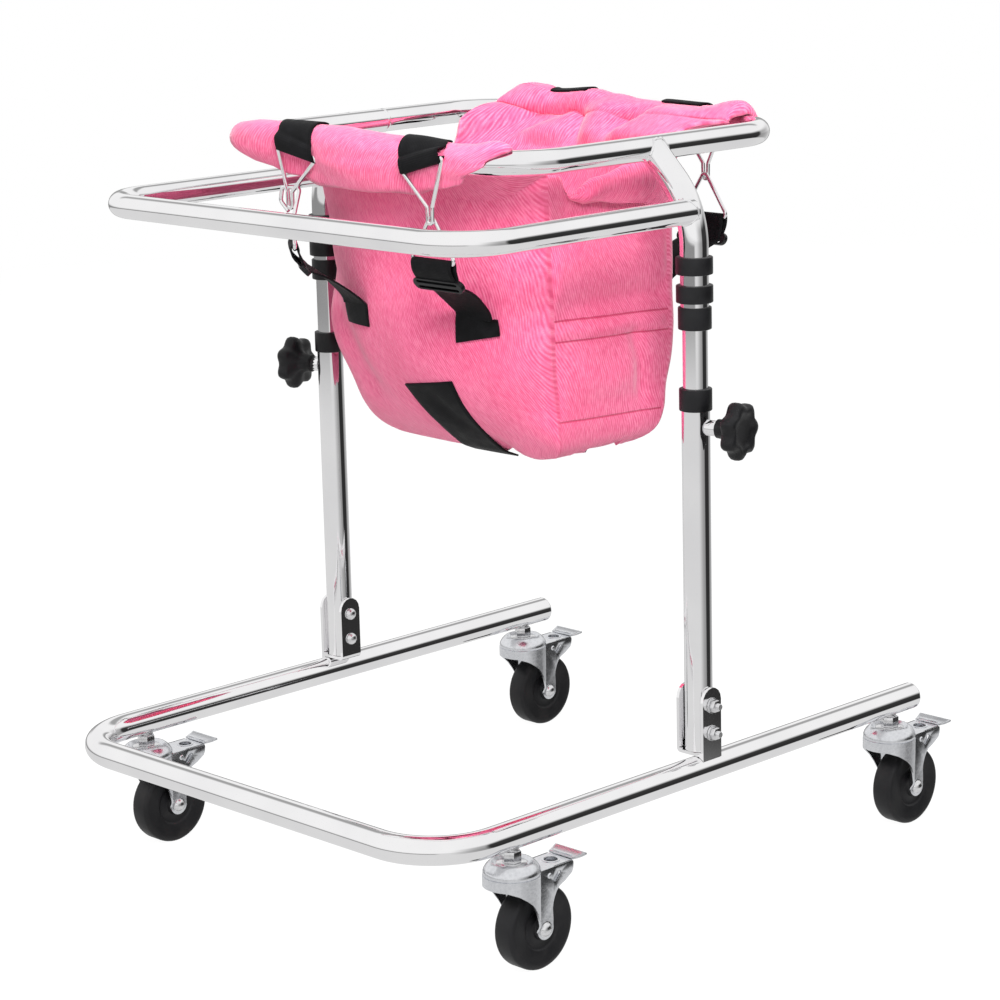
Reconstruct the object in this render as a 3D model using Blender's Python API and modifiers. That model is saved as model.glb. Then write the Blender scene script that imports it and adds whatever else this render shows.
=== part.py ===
"""Pediatric walker: a chromed U-shaped base on four braked swivel casters, two telescoping
uprights, a rounded upper ring with a front handlebar, and a fabric seat sling clipped to it.

Metres, +Z up. The walker faces -Y, its open end is at +Y, and +X is its right-hand side in
the view from the front handlebar towards the open end. The origin is on the floor, under the
middle of the bounding box.
"""

import math

import bmesh
import bpy
from mathutils import Matrix, Vector

# Clearances
GAP = 0.0003
FABRIC_GAP = 0.0014
WIRE_GAP = 0.0005

# Casters
WHEEL_DIAMETER = 0.075
WHEEL_WIDTH = 0.022
WHEEL_SHOULDER = 0.0026
WHEEL_SEGMENTS = 20
HUB_WIDTH = 0.0254
HUB_DIAMETER = 0.019
AXLE_DIAMETER = 0.008
AXLE_HEAD_ACROSS = 0.012
AXLE_HEAD_THICKNESS = 0.0036
WHEEL_TRAIL = 0.024
WHEEL_TO_CAP = 0.008
FORK_SHEET = 0.002
CAP_RADIUS = 0.0248
CAP_HEIGHT = 0.019
CAP_HOLE_RADIUS = 0.0117
AXLE_LOBE_RADIUS = 0.0095
HOUSING_REACH = 0.0585
PEDAL_REACH = 0.0715
BRAKE_PIVOT_BACK = 0.030
BRAKE_PIVOT_LIFT = 0.0005
PEDAL_HALF_WIDTH = 0.0185
PEDAL_SHEET = 0.0022
STEM_DIAMETER = 0.010
STEM_NUT_ACROSS = 0.015
STEM_NECK = 0.0095
SKIRT_DROP = 0.002

# Base frame
BASE_TUBE_DIAMETER = 0.025
BASE_TUBE_WALL = 0.0015
BASE_HALF_WIDTH = 0.247
BASE_FRONT_Y = -0.327
BASE_REAR_Y = 0.302
BASE_BEND_RADIUS = 0.065
CASTER_FRONT_Y = -0.239
CASTER_REAR_Y = 0.268
PLUG_FLANGE = 0.0025
PLUG_SPIGOT = 0.012

# Uprights
UPRIGHT_INSET = 0.007
UPRIGHT_Y = 0.005
OUTER_TUBE_DIAMETER = 0.025
OUTER_TUBE_WALL = 0.0012
INNER_TUBE_DIAMETER = OUTER_TUBE_DIAMETER - 2 * OUTER_TUBE_WALL - 2 * GAP
INNER_TUBE_WALL = 0.0012
LOWER_TUBE_LENGTH = 0.3249
INNER_TUBE_OVERLAP = 0.175
BRACKET_SHEET = 0.003
BRACKET_WIDTH = 0.024
BRACKET_HEIGHT = 0.0622
BOLT_DIAMETER = 0.006
BOLT_HEAD_DIAMETER = 0.0115
BOLT_NUT_ACROSS = 0.010
WASHER_DIAMETER = 0.014
BOLT_HEIGHTS = (0.0208, 0.0462)
BUSH_DIAMETER = OUTER_TUBE_DIAMETER + 0.004
BUSH_HEIGHT = 0.0195
BUSH_LIP = 0.0017
STOP_RING_DIAMETER = OUTER_TUBE_DIAMETER + 0.0075
STOP_RING_HEIGHT = 0.0152
STOP_RING_LIFTS = (0.0213, 0.0458)

# Clamp knobs. Both lower tubes are one part, turned half round for the other side.
KNOB_BELOW_TUBE_TOP = 0.032
KNOB_TURN = math.radians(12)
BOSS_DIAMETER = 0.014
BOSS_REACH = OUTER_TUBE_DIAMETER / 2 + 0.009
STUD_DIAMETER = 0.008
KNOB_DIAMETER = 0.0525
KNOB_HUB_DIAMETER = 0.017
KNOB_HUB_LENGTH = 0.0135
KNOB_HEAD_THICKNESS = 0.0145
KNOB_LOBES = 7
KNOB_LOBE_DEPTH = 0.0024

# Upper frame
LOWERED_TRAVEL = 0.052
LEG_HEIGHT = 0.1513
LEG_INSET = 0.0485
LEG_BEND_RADIUS = 0.080
RING_TUBE_DIAMETER = 0.022
RING_TUBE_WALL = 0.0015
RING_FRONT_Y = -0.161
RING_REAR_Y = 0.180
RING_BEND_RADIUS = 0.055
HANDLEBAR_DIAMETER = 0.022
HANDLEBAR_WALL = 0.0015
HANDLEBAR_DROP = 0.051
HANDLEBAR_FRONT_Y = -0.266
HANDLEBAR_BEND_RADIUS = 0.049
VENT_DIAMETER = 0.004

# Seat sling
CLOTH_THICKNESS = 0.005
ROLL_THICKNESS = 0.0125
SLING_SIDE_CLEARANCE = 0.0525
SLING_DEPTH = 0.282
# How far each roll goes on round the ring's bend, at its left end and its right end
FRONT_ROLL_WRAPS = (0.0685, 0.0265)
REAR_ROLL_WRAPS = (0.0135, 0.0215)
LEG_HOLE_WIDTH = 0.088
LEG_HOLE_LENGTH = 0.100
CROTCH_WIDTH = 0.046
LEG_HOLE_Y = 0.024

# Sling hardware
WIRE_DIAMETER = 0.0038
HOOK_WIDTH = 0.045
HOOK_SPACING = 0.080
NECK_SPACING = 0.088
RING_WIDTH = 0.056
STRAP_WIDTH = 0.042
STRAP_THICKNESS = 0.0022
SLIDER_WIDTH = 0.056
SLIDER_HEIGHT = 0.010
SLIDER_THICKNESS = 0.0065

# Round sections
TUBE_SIDES = 14
RING_SIDES = 12
WIRE_SIDES = 6
TURNED_SEGMENTS = 14
BEND_STEPS = 5

# Heights that follow from the sizes above
WHEEL_RADIUS = WHEEL_DIAMETER / 2
AXLE_Z = WHEEL_RADIUS
CAP_BASE_Z = AXLE_Z + WHEEL_RADIUS + WHEEL_TO_CAP
CAP_TOP_Z = CAP_BASE_Z + CAP_HEIGHT
DISH_Z = CAP_TOP_Z - 0.0035
CHEEK_TOP_Z = CAP_BASE_Z + 0.008
BRAKE_PIVOT_Z = CAP_BASE_Z + BRAKE_PIVOT_LIFT
RAIL_UNDERSIDE_Z = CAP_TOP_Z + STEM_NECK
BASE_Z = RAIL_UNDERSIDE_Z + BASE_TUBE_DIAMETER / 2
RAIL_TOP_Z = BASE_Z + BASE_TUBE_DIAMETER / 2
UPRIGHT_X = BASE_HALF_WIDTH - UPRIGHT_INSET
BRACKET_BASE_Z = RAIL_TOP_Z + GAP
LOWER_TUBE_BASE_Z = BRACKET_BASE_Z + BRACKET_SHEET + GAP
LOWER_TUBE_TOP_Z = LOWER_TUBE_BASE_Z + LOWER_TUBE_LENGTH
BUSH_TOP_Z = LOWER_TUBE_TOP_Z + GAP + BUSH_LIP
KNOB_Z = LOWER_TUBE_TOP_Z - KNOB_BELOW_TUBE_TOP
SLEEVE_BASE_Z = BUSH_TOP_Z + LOWERED_TRAVEL
LEG_BASE_Z = SLEEVE_BASE_Z + BUSH_LIP + GAP
RING_Z = LEG_BASE_Z + LEG_HEIGHT
RING_HALF_WIDTH = UPRIGHT_X - LEG_INSET
HANDLEBAR_Z = RING_Z - HANDLEBAR_DROP
LEG_CORNER_Z = RING_Z - LEG_INSET
LEG_BEND_START_Z = LEG_CORNER_Z - LEG_BEND_RADIUS * math.tan(math.pi / 8)
INNER_TUBE_BASE_Z = LOWER_TUBE_TOP_Z - INNER_TUBE_OVERLAP
INNER_TUBE_TOP_Z = LEG_BEND_START_Z - 0.006
FORK_OUTER_X = HUB_WIDTH / 2 + GAP + FORK_SHEET
SLING_HALF_WIDTH = RING_HALF_WIDTH - SLING_SIDE_CLEARANCE
SLING_BASE_Z = RING_Z - SLING_DEPTH
ROLL_CONTACT_RADIUS = RING_TUBE_DIAMETER / 2 + FABRIC_GAP
RING_STRAIGHT = RING_HALF_WIDTH - RING_BEND_RADIUS
FRONT_ROLL_ENDS = (-RING_STRAIGHT - FRONT_ROLL_WRAPS[0], RING_STRAIGHT + FRONT_ROLL_WRAPS[1])
REAR_ROLL_ENDS = (-RING_STRAIGHT - REAR_ROLL_WRAPS[0], RING_STRAIGHT + REAR_ROLL_WRAPS[1])

SIDES = {"right": 1, "left": -1}
ENDS = {"front": -1, "rear": 1}


def clear_scene():
    for obj in list(bpy.data.objects):
        bpy.data.objects.remove(obj, do_unlink=True)


def new_collection(name):
    collection = bpy.data.collections.new(name)
    bpy.context.scene.collection.children.link(collection)
    return collection


clear_scene()
PARTS = new_collection("pediatric_walker")
CUTTERS = new_collection("cutters")


def make_material(name, color, roughness, metallic=0.0):
    material = bpy.data.materials.new(name)
    material.use_nodes = True
    shader = material.node_tree.nodes["Principled BSDF"]
    shader.inputs["Base Color"].default_value = (*color, 1.0)
    shader.inputs["Roughness"].default_value = roughness
    shader.inputs["Metallic"].default_value = metallic
    return material


CHROME = make_material("chrome", (0.86, 0.86, 0.88), 0.08, 1.0)
ZINC = make_material("zinc_plate", (0.70, 0.72, 0.75), 0.30, 1.0)
BRIGHT_STEEL = make_material("bright_steel", (0.78, 0.78, 0.80), 0.18, 1.0)
RUBBER = make_material("black_rubber", (0.020, 0.020, 0.021), 0.55)
PLASTIC = make_material("black_plastic", (0.022, 0.022, 0.024), 0.42)
PINK_CLOTH = make_material("pink_cloth", (0.90, 0.20, 0.38), 0.75)
WEBBING = make_material("black_webbing", (0.018, 0.018, 0.019), 0.60)


# Shared modelling tools


def place(name, data, collection=PARTS, material=None):
    """Link a new object, and hide it if it is only a cutter."""
    obj = bpy.data.objects.new(name, data)
    collection.objects.link(obj)
    if material:
        data.materials.append(material)
    if collection is CUTTERS:
        obj.hide_render = True
        obj.display_type = "WIRE"
    return obj


def shade(obj, angle=35):
    obj.data.shade_smooth()
    obj.data.set_sharp_from_angle(angle=math.radians(angle))


def boolean(obj, tool, operation="DIFFERENCE"):
    modifier = obj.modifiers.new(f"{operation.lower()}_{tool.name}", "BOOLEAN")
    modifier.object = tool
    modifier.operation = operation
    modifier.solver = "EXACT"


def bent_path(corners, radius, closed=False, steps=BEND_STEPS):
    """Points along straight runs that meet in arcs of the given radius."""
    corners = [Vector(corner) for corner in corners]
    count = len(corners)
    points = []
    for index, corner in enumerate(corners):
        if not closed and index in (0, count - 1):
            points.append(corner)
            continue
        before = (corners[index - 1] - corner).normalized()
        after = (corners[(index + 1) % count] - corner).normalized()
        half = before.angle(after) / 2
        centre = corner + (before + after).normalized() * radius / math.sin(half)
        start = corner + before * radius / math.tan(half) - centre
        axis = before.cross(after).normalized()
        sweep = math.pi - 2 * half
        for step in range(steps + 1):
            turn = Matrix.Rotation(-sweep * step / steps, 3, axis)
            points.append(centre + turn @ start)
    return points


def wire_curve(name, points, radius, sides, closed=False, caps=True, collection=PARTS):
    curve = bpy.data.curves.new(name, "CURVE")
    curve.dimensions = "3D"
    curve.bevel_depth = radius
    curve.bevel_resolution = (sides - 4) // 2
    curve.use_fill_caps = caps and not closed
    spline = curve.splines.new("POLY")
    spline.points.add(len(points) - 1)
    for target, point in zip(spline.points, points):
        target.co = (*point, 1.0)
    spline.use_cyclic_u = closed
    return place(name, curve, collection)


def as_mesh(obj, material=None):
    """Turn a curve object into a mesh object of the same name, with its caps welded on."""
    bpy.context.view_layer.update()
    graph = bpy.context.evaluated_depsgraph_get()
    mesh = bpy.data.meshes.new_from_object(obj.evaluated_get(graph))
    bm = bmesh.new()
    bm.from_mesh(mesh)
    bmesh.ops.remove_doubles(bm, verts=bm.verts, dist=0.00001)
    bmesh.ops.recalc_face_normals(bm, faces=bm.faces)
    bm.to_mesh(mesh)
    bm.free()
    name = obj.name
    matrix = obj.matrix_world.copy()
    collection = obj.users_collection[0]
    bpy.data.objects.remove(obj, do_unlink=True)
    mesh.materials.clear()
    solid = place(name, mesh, collection, material)
    solid.matrix_world = matrix
    return solid


def hollow_tube(name, points, diameter, wall, sides, closed=False):
    curve = wire_curve(name, points, diameter / 2, sides, closed, caps=False)
    tube = as_mesh(curve, CHROME)
    solidify = tube.modifiers.new("wall", "SOLIDIFY")
    solidify.thickness = wall
    solidify.offset = -1
    shade(tube)
    return tube


def rod(name, points, diameter, sides, material, closed=False, collection=PARTS):
    solid = as_mesh(wire_curve(name, points, diameter / 2, sides, closed, True, collection), material)
    shade(solid, 50)
    return solid


def along(direction, origin=(0, 0, 0)):
    """A matrix that stands local Z along a direction, at an origin."""
    turn = Vector((0, 0, 1)).rotation_difference(Vector(direction).normalized())
    return Matrix.Translation(origin) @ turn.to_matrix().to_4x4()


def cylinder(name, diameter, length, matrix, sides=TURNED_SEGMENTS, material=None, collection=CUTTERS):
    """A cylinder or prism whose base is at the matrix's origin and whose axis is its Z."""
    mesh = bpy.data.meshes.new(name)
    bm = bmesh.new()
    bmesh.ops.create_cone(
        bm, cap_ends=True, segments=sides, radius1=diameter / 2, radius2=diameter / 2, depth=length
    )
    bmesh.ops.translate(bm, verts=bm.verts, vec=(0, 0, length / 2))
    bm.to_mesh(mesh)
    bm.free()
    solid = place(name, mesh, collection, material)
    solid.matrix_world = matrix
    return solid


def hex_across(width):
    """The diameter through the corners of a hexagon of this width across flats."""
    return width / math.cos(math.pi / 6)


def box(name, low, high, collection=CUTTERS, material=None):
    mesh = bpy.data.meshes.new(name)
    bm = bmesh.new()
    bmesh.ops.create_cube(bm, size=1)
    size = Vector(high) - Vector(low)
    bmesh.ops.scale(bm, vec=size, verts=bm.verts)
    bmesh.ops.translate(bm, vec=(Vector(high) + Vector(low)) / 2, verts=bm.verts)
    bm.to_mesh(mesh)
    bm.free()
    return place(name, mesh, collection, material)


def turned(name, profile, matrix, segments=TURNED_SEGMENTS, closed=False, material=None, collection=PARTS):
    """Turn a profile of (radius, height) points, listed from the top down its outer side."""
    mesh = bpy.data.meshes.new(name)
    bm = bmesh.new()
    verts = [bm.verts.new((radius, 0, height)) for radius, height in profile]
    for first, second in zip(verts, verts[1:]):
        bm.edges.new((first, second))
    if closed:
        bm.edges.new((verts[-1], verts[0]))
    bm.to_mesh(mesh)
    bm.free()
    solid = place(name, mesh, collection, material)
    screw = solid.modifiers.new("turn", "SCREW")
    screw.steps = screw.render_steps = segments
    screw.axis = "Z"
    screw.use_merge_vertices = True
    screw.merge_threshold = 0.00001
    solid.matrix_world = matrix
    return solid


def plate(name, outline, thickness, matrix, material=None, collection=PARTS):
    """A flat plate of this outline in the matrix's XY plane, centred on it in thickness."""
    curve = bpy.data.curves.new(name, "CURVE")
    curve.dimensions = "2D"
    curve.fill_mode = "BOTH"
    curve.extrude = thickness / 2
    spline = curve.splines.new("POLY")
    spline.points.add(len(outline) - 1)
    for target, point in zip(spline.points, outline):
        target.co = (*point, 0, 1)
    spline.use_cyclic_u = True
    obj = place(name, curve, collection)
    obj.matrix_world = matrix
    return as_mesh(obj, material)


def arc(centre, radius, start, end, steps):
    """Points on an arc in a plane, angles in degrees."""
    angles = [math.radians(start + (end - start) * step / steps) for step in range(steps + 1)]
    return [(centre[0] + radius * math.cos(a), centre[1] + radius * math.sin(a)) for a in angles]


def polygon_bore(diameter, segments):
    """The corner diameter of a turned bore whose flats still clear this diameter."""
    return diameter / math.cos(math.pi / segments)


# The YZ plane, with a plate's thickness along X, and the XZ plane, with it along Y
SIDE_PLANE = Matrix(((0, 0, 1, 0), (1, 0, 0, 0), (0, 1, 0, 0), (0, 0, 0, 1)))
FRONT_PLANE = Matrix(((1, 0, 0, 0), (0, 0, -1, 0), (0, 1, 0, 0), (0, 0, 0, 1)))


# Base frame


def base_frame():
    """One tube bent to a U, open at the rear, with a hole under each caster stem."""
    corners = [
        (-BASE_HALF_WIDTH, BASE_REAR_Y - PLUG_FLANGE - GAP, BASE_Z),
        (-BASE_HALF_WIDTH, BASE_FRONT_Y, BASE_Z),
        (BASE_HALF_WIDTH, BASE_FRONT_Y, BASE_Z),
        (BASE_HALF_WIDTH, BASE_REAR_Y - PLUG_FLANGE - GAP, BASE_Z),
    ]
    path = bent_path(corners, BASE_BEND_RADIUS)
    tube = hollow_tube("base_frame", path, BASE_TUBE_DIAMETER, BASE_TUBE_WALL, TUBE_SIDES)
    for name, x, y in caster_places():
        hole = cylinder(
            f"stem_hole_{name}",
            polygon_bore(STEM_DIAMETER + 2 * GAP, 12),
            BASE_TUBE_DIAMETER / 2,
            Matrix.Translation((x, y, RAIL_UNDERSIDE_Z - BASE_TUBE_DIAMETER / 4)),
            sides=12,
        )
        boolean(tube, hole)


def caster_places():
    for end, y in (("front", CASTER_FRONT_Y), ("rear", CASTER_REAR_Y)):
        for side, sign in SIDES.items():
            yield f"{end}_{side}", sign * BASE_HALF_WIDTH, y


def rail_end_plugs():
    """A flanged plug closes each open rail end."""
    bore = BASE_TUBE_DIAMETER - 2 * BASE_TUBE_WALL - 2 * GAP
    spigot = bore * math.cos(math.pi / TUBE_SIDES)
    profile = [
        (0, 0),
        (BASE_TUBE_DIAMETER / 2 - 0.001, 0),
        (BASE_TUBE_DIAMETER / 2, -0.001),
        (BASE_TUBE_DIAMETER / 2, -PLUG_FLANGE),
        (spigot / 2, -PLUG_FLANGE),
        (spigot / 2, -PLUG_FLANGE - PLUG_SPIGOT),
        (0, -PLUG_FLANGE - PLUG_SPIGOT),
    ]
    for side, sign in SIDES.items():
        matrix = along((0, 1, 0), (sign * BASE_HALF_WIDTH, BASE_REAR_Y, BASE_Z))
        shade(turned(f"rail_end_plug_{side}", profile, matrix, material=CHROME))


# Uprights


def brackets():
    """A U strap stands on each rail and holds the lower tube between its ears."""
    inner = OUTER_TUBE_DIAMETER / 2 + GAP
    outer = inner + BRACKET_SHEET
    bend = 0.004
    top = BRACKET_HEIGHT
    for side, sign in SIDES.items():
        foot = -0.008
        outline = [(outer, top), (inner, top), (inner, BRACKET_SHEET), (-inner, BRACKET_SHEET)]
        outline += [(-inner, top), (-outer, top)] + arc((-outer + bend, bend), bend, 180, 270, 4)
        outline += [(inner - 0.002, 0), (inner, foot), (outer, foot)]
        outline = [(sign * x, z) for x, z in outline]
        matrix = Matrix.Translation((sign * UPRIGHT_X, UPRIGHT_Y, BRACKET_BASE_Z)) @ FRONT_PLANE
        strap = plate(f"bracket_{side}", outline, BRACKET_WIDTH, matrix, CHROME)
        half = BRACKET_WIDTH / 2
        tombstone = arc((0, top - half), half, 0, 180, 8) + [(-half, -0.02), (half, -0.02)]
        trim = plate(
            f"bracket_trim_{side}",
            tombstone,
            4 * outer,
            Matrix.Translation((sign * UPRIGHT_X, UPRIGHT_Y, BRACKET_BASE_Z)) @ SIDE_PLANE,
            collection=CUTTERS,
        )
        boolean(strap, trim, "INTERSECT")
        rail = cylinder(
            f"bracket_seat_{side}",
            BASE_TUBE_DIAMETER + 2 * GAP,
            2 * BRACKET_WIDTH,
            along((0, 1, 0), (sign * BASE_HALF_WIDTH, UPRIGHT_Y - BRACKET_WIDTH, BASE_Z)),
            sides=32,
        )
        boolean(strap, rail)
        for index, height in enumerate(BOLT_HEIGHTS):
            boolean(strap, bolt_hole(f"bracket_hole_{side}_{index}", sign, height))
        shade(strap)


def bolt_hole(name, sign, height):
    length = 0.06
    return cylinder(
        name,
        polygon_bore(BOLT_DIAMETER + 2 * GAP, 12),
        length,
        along((1, 0, 0), (sign * UPRIGHT_X - length / 2, UPRIGHT_Y, BRACKET_BASE_Z + height)),
        sides=12,
    )


def bracket_bolts():
    """Two bolts a side: a domed head on the inner ear, washer, nut and thread end on the outer."""
    ear = OUTER_TUBE_DIAMETER / 2 + GAP + BRACKET_SHEET + GAP
    washer = 0.0012
    nut = 0.005
    thread_end = 0.0035
    radius = BOLT_DIAMETER / 2
    head = BOLT_HEAD_DIAMETER / 2
    profile = [
        (0, ear + washer + nut + thread_end),
        (radius, ear + washer + nut + thread_end),
        (radius, ear + washer),
        (WASHER_DIAMETER / 2, ear + washer),
        (WASHER_DIAMETER / 2, ear),
        (radius, ear),
        (radius, -ear),
        (head, -ear),
        (head, -ear - 0.0018),
        (head * 0.7, -ear - 0.0034),
        (0, -ear - 0.0040),
    ]
    for side, sign in SIDES.items():
        for label, height in zip(("lower", "upper"), BOLT_HEIGHTS):
            matrix = along((sign, 0, 0), (sign * UPRIGHT_X, UPRIGHT_Y, BRACKET_BASE_Z + height))
            bolt = turned(f"bracket_bolt_{side}_{label}", profile, matrix, 10, material=BRIGHT_STEEL)
            hexagon = cylinder(
                f"nut_{side}_{label}",
                hex_across(BOLT_NUT_ACROSS),
                nut,
                matrix @ Matrix.Translation((0, 0, ear + washer - 0.0001)),
                sides=6,
            )
            boolean(bolt, hexagon, "UNION")
            shade(bolt)


def knob_axis(sign):
    return Vector((sign * math.cos(KNOB_TURN), sign * math.sin(KNOB_TURN), 0))


def upright_tubes():
    """The lower tubes with their clamp bosses, and the inner tubes that slide in them."""
    for side, sign in SIDES.items():
        x = sign * UPRIGHT_X
        path = [(x, UPRIGHT_Y, LOWER_TUBE_BASE_Z), (x, UPRIGHT_Y, LOWER_TUBE_TOP_Z)]
        lower = hollow_tube(f"lower_tube_{side}", path, OUTER_TUBE_DIAMETER, OUTER_TUBE_WALL, TUBE_SIDES)
        axis = knob_axis(sign)
        centre = Vector((x, UPRIGHT_Y, KNOB_Z))
        boss_start = OUTER_TUBE_DIAMETER / 2 - OUTER_TUBE_WALL * 0.6
        boss = cylinder(
            f"clamp_boss_{side}",
            BOSS_DIAMETER,
            BOSS_REACH - boss_start,
            along(axis, centre + axis * boss_start),
        )
        bore = cylinder(
            f"clamp_bore_{side}",
            INNER_TUBE_DIAMETER + 2 * GAP,
            LOWER_TUBE_LENGTH,
            Matrix.Translation((x, UPRIGHT_Y, LOWER_TUBE_BASE_Z)),
            sides=32,
        )
        boolean(boss, bore)
        boolean(lower, boss, "UNION")
        stud_hole = cylinder(
            f"stud_hole_{side}",
            polygon_bore(STUD_DIAMETER + 2 * GAP, 16),
            BOSS_REACH,
            along(axis, centre + axis * 0.004),
        )
        boolean(lower, stud_hole)
        for index, height in enumerate(BOLT_HEIGHTS):
            boolean(lower, bolt_hole(f"tube_hole_{side}_{index}", sign, height))
        path = [(x, UPRIGHT_Y, INNER_TUBE_BASE_Z), (x, UPRIGHT_Y, INNER_TUBE_TOP_Z)]
        hollow_tube(f"inner_tube_{side}", path, INNER_TUBE_DIAMETER, INNER_TUBE_WALL, TUBE_SIDES)


def lipped_ring(height, flip):
    """The profile of a ring that fits over a tube and turns in over its end."""
    segments = TURNED_SEGMENTS
    wall = polygon_bore(OUTER_TUBE_DIAMETER + 2 * GAP, segments) / 2
    lip = polygon_bore(INNER_TUBE_DIAMETER + 2 * GAP, segments) / 2
    outer = BUSH_DIAMETER / 2
    edge = 0.0008
    profile = [
        (lip, height),
        (outer - edge, height),
        (outer, height - edge),
        (outer, 0),
        (wall, 0),
        (wall, height - BUSH_LIP),
        (lip, height - BUSH_LIP),
    ]
    if flip:
        profile = [(radius, height - z) for radius, z in profile]
        profile.reverse()
    return profile


def bushes_and_stops():
    """Black rings: a bush on each lower tube, a sleeve under each leg and two bands above it."""
    for side, sign in SIDES.items():
        x = sign * UPRIGHT_X
        bush = Matrix.Translation((x, UPRIGHT_Y, BUSH_TOP_Z - BUSH_HEIGHT))
        turned(f"lower_tube_bush_{side}", lipped_ring(BUSH_HEIGHT, False), bush, closed=True, material=PLASTIC)
        sleeve = Matrix.Translation((x, UPRIGHT_Y, SLEEVE_BASE_Z))
        turned(f"leg_sleeve_{side}", lipped_ring(BUSH_HEIGHT, True), sleeve, closed=True, material=PLASTIC)
        inner = polygon_bore(OUTER_TUBE_DIAMETER + 2 * GAP, TURNED_SEGMENTS) / 2
        outer = STOP_RING_DIAMETER / 2
        edge = 0.0008
        profile = [
            (inner, STOP_RING_HEIGHT),
            (outer - edge, STOP_RING_HEIGHT),
            (outer, STOP_RING_HEIGHT - edge),
            (outer, 0),
            (inner, 0),
        ]
        for label, lift in zip(("lower", "upper"), STOP_RING_LIFTS):
            matrix = Matrix.Translation((x, UPRIGHT_Y, LEG_BASE_Z + lift))
            turned(f"stop_ring_{side}_{label}", profile, matrix, closed=True, material=PLASTIC)


def clamp_knobs():
    """A lobed knob moulded on a stud, whose tip bears on the inner tube."""
    tip = INNER_TUBE_DIAMETER / 2 + GAP
    hub_start = BOSS_REACH + GAP
    head_start = hub_start + KNOB_HUB_LENGTH
    head_end = head_start + KNOB_HEAD_THICKNESS
    stud = STUD_DIAMETER / 2
    hub = KNOB_HUB_DIAMETER / 2
    rim = KNOB_DIAMETER / 2 - KNOB_LOBE_DEPTH
    rings = [
        (tip, stud, 0),
        (hub_start, stud, 0),
        (hub_start, hub, 0.2),
        (hub_start + 0.006, hub + 0.001, 0.5),
        (head_start, rim - 0.004, 1),
        (head_start + 0.003, rim, 1),
        (head_end - 0.004, rim, 1),
        (head_end - 0.0005, rim - 0.006, 0.8),
        (head_end + 0.0015, rim * 0.4, 0),
    ]
    points = 3 * KNOB_LOBES
    for side, sign in SIDES.items():
        mesh = bpy.data.meshes.new(f"clamp_knob_{side}")
        bm = bmesh.new()
        loops = []
        for height, radius, lobing in rings:
            loop = []
            for index in range(points):
                angle = 2 * math.pi * index / points
                reach = radius + KNOB_LOBE_DEPTH * lobing * math.cos(KNOB_LOBES * angle)
                loop.append(bm.verts.new((reach * math.cos(angle), reach * math.sin(angle), height)))
            loops.append(loop)
        for lower, upper in zip(loops, loops[1:]):
            for index in range(points):
                after = (index + 1) % points
                bm.faces.new((lower[index], lower[after], upper[after], upper[index]))
        bm.faces.new(list(reversed(loops[0])))
        bm.faces.new(loops[-1])
        bm.to_mesh(mesh)
        bm.free()
        knob = place(mesh.name, mesh, PARTS, PLASTIC)
        knob.matrix_world = along(knob_axis(sign), (sign * UPRIGHT_X, UPRIGHT_Y, KNOB_Z))
        shade(knob)


# Upper frame


def ring_corners():
    return [
        (-RING_HALF_WIDTH, RING_REAR_Y, RING_Z),
        (-RING_HALF_WIDTH, RING_FRONT_Y, RING_Z),
        (RING_HALF_WIDTH, RING_FRONT_Y, RING_Z),
        (RING_HALF_WIDTH, RING_REAR_Y, RING_Z),
    ]


def upper_ring():
    """A closed ring of tube, with a drain hole under its rear bar."""
    path = bent_path(ring_corners(), RING_BEND_RADIUS, closed=True)
    ring = hollow_tube("upper_ring", path, RING_TUBE_DIAMETER, RING_TUBE_WALL, RING_SIDES, closed=True)
    vent = cylinder(
        "ring_vent",
        VENT_DIAMETER,
        RING_TUBE_DIAMETER / 2,
        Matrix.Translation((0.02, RING_REAR_Y, RING_Z - 0.75 * RING_TUBE_DIAMETER)),
        sides=8,
    )
    boolean(ring, vent)
    return path


def leg_path(sign, short_of_ring):
    """A leg's centre line: up, then in at 45 degrees to the ring."""
    slope = short_of_ring / math.sqrt(2)
    corners = [
        (sign * UPRIGHT_X, UPRIGHT_Y, LEG_BASE_Z),
        (sign * UPRIGHT_X, UPRIGHT_Y, LEG_CORNER_Z),
        (sign * (RING_HALF_WIDTH + slope), UPRIGHT_Y, RING_Z - slope),
    ]
    return bent_path(corners, LEG_BEND_RADIUS, steps=4)


def legs_and_handlebar(ring_path):
    """The legs are coped to the ring they are welded under, the handlebar to the legs."""
    ring_clearance = rod(
        "ring_clearance", ring_path, RING_TUBE_DIAMETER + 2 * GAP, RING_SIDES, None, True, CUTTERS
    )
    leg_clearances = []
    for side, sign in SIDES.items():
        leg = hollow_tube(
            f"leg_tube_{side}", leg_path(sign, 0.004), OUTER_TUBE_DIAMETER, OUTER_TUBE_WALL, TUBE_SIDES
        )
        boolean(leg, ring_clearance)
        leg_clearances.append(
            rod(
                f"leg_clearance_{side}",
                leg_path(sign, 0.004),
                OUTER_TUBE_DIAMETER + 2 * GAP,
                TUBE_SIDES,
                None,
                False,
                CUTTERS,
            )
        )
    end_y = UPRIGHT_Y - 0.003
    corners = [
        (-UPRIGHT_X, end_y, HANDLEBAR_Z),
        (-UPRIGHT_X, HANDLEBAR_FRONT_Y, HANDLEBAR_Z),
        (UPRIGHT_X, HANDLEBAR_FRONT_Y, HANDLEBAR_Z),
        (UPRIGHT_X, end_y, HANDLEBAR_Z),
    ]
    path = bent_path(corners, HANDLEBAR_BEND_RADIUS)
    handlebar = hollow_tube("handlebar", path, HANDLEBAR_DIAMETER, HANDLEBAR_WALL, RING_SIDES)
    for clearance in leg_clearances:
        boolean(handlebar, clearance)


# Casters, modelled about their stem's axis and set under the rails by an empty


def swivel_empty(name, x, y):
    empty = bpy.data.objects.new(f"swivel_axis_{name}", None)
    PARTS.objects.link(empty)
    empty.location = (x, y, 0)
    return empty


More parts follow.
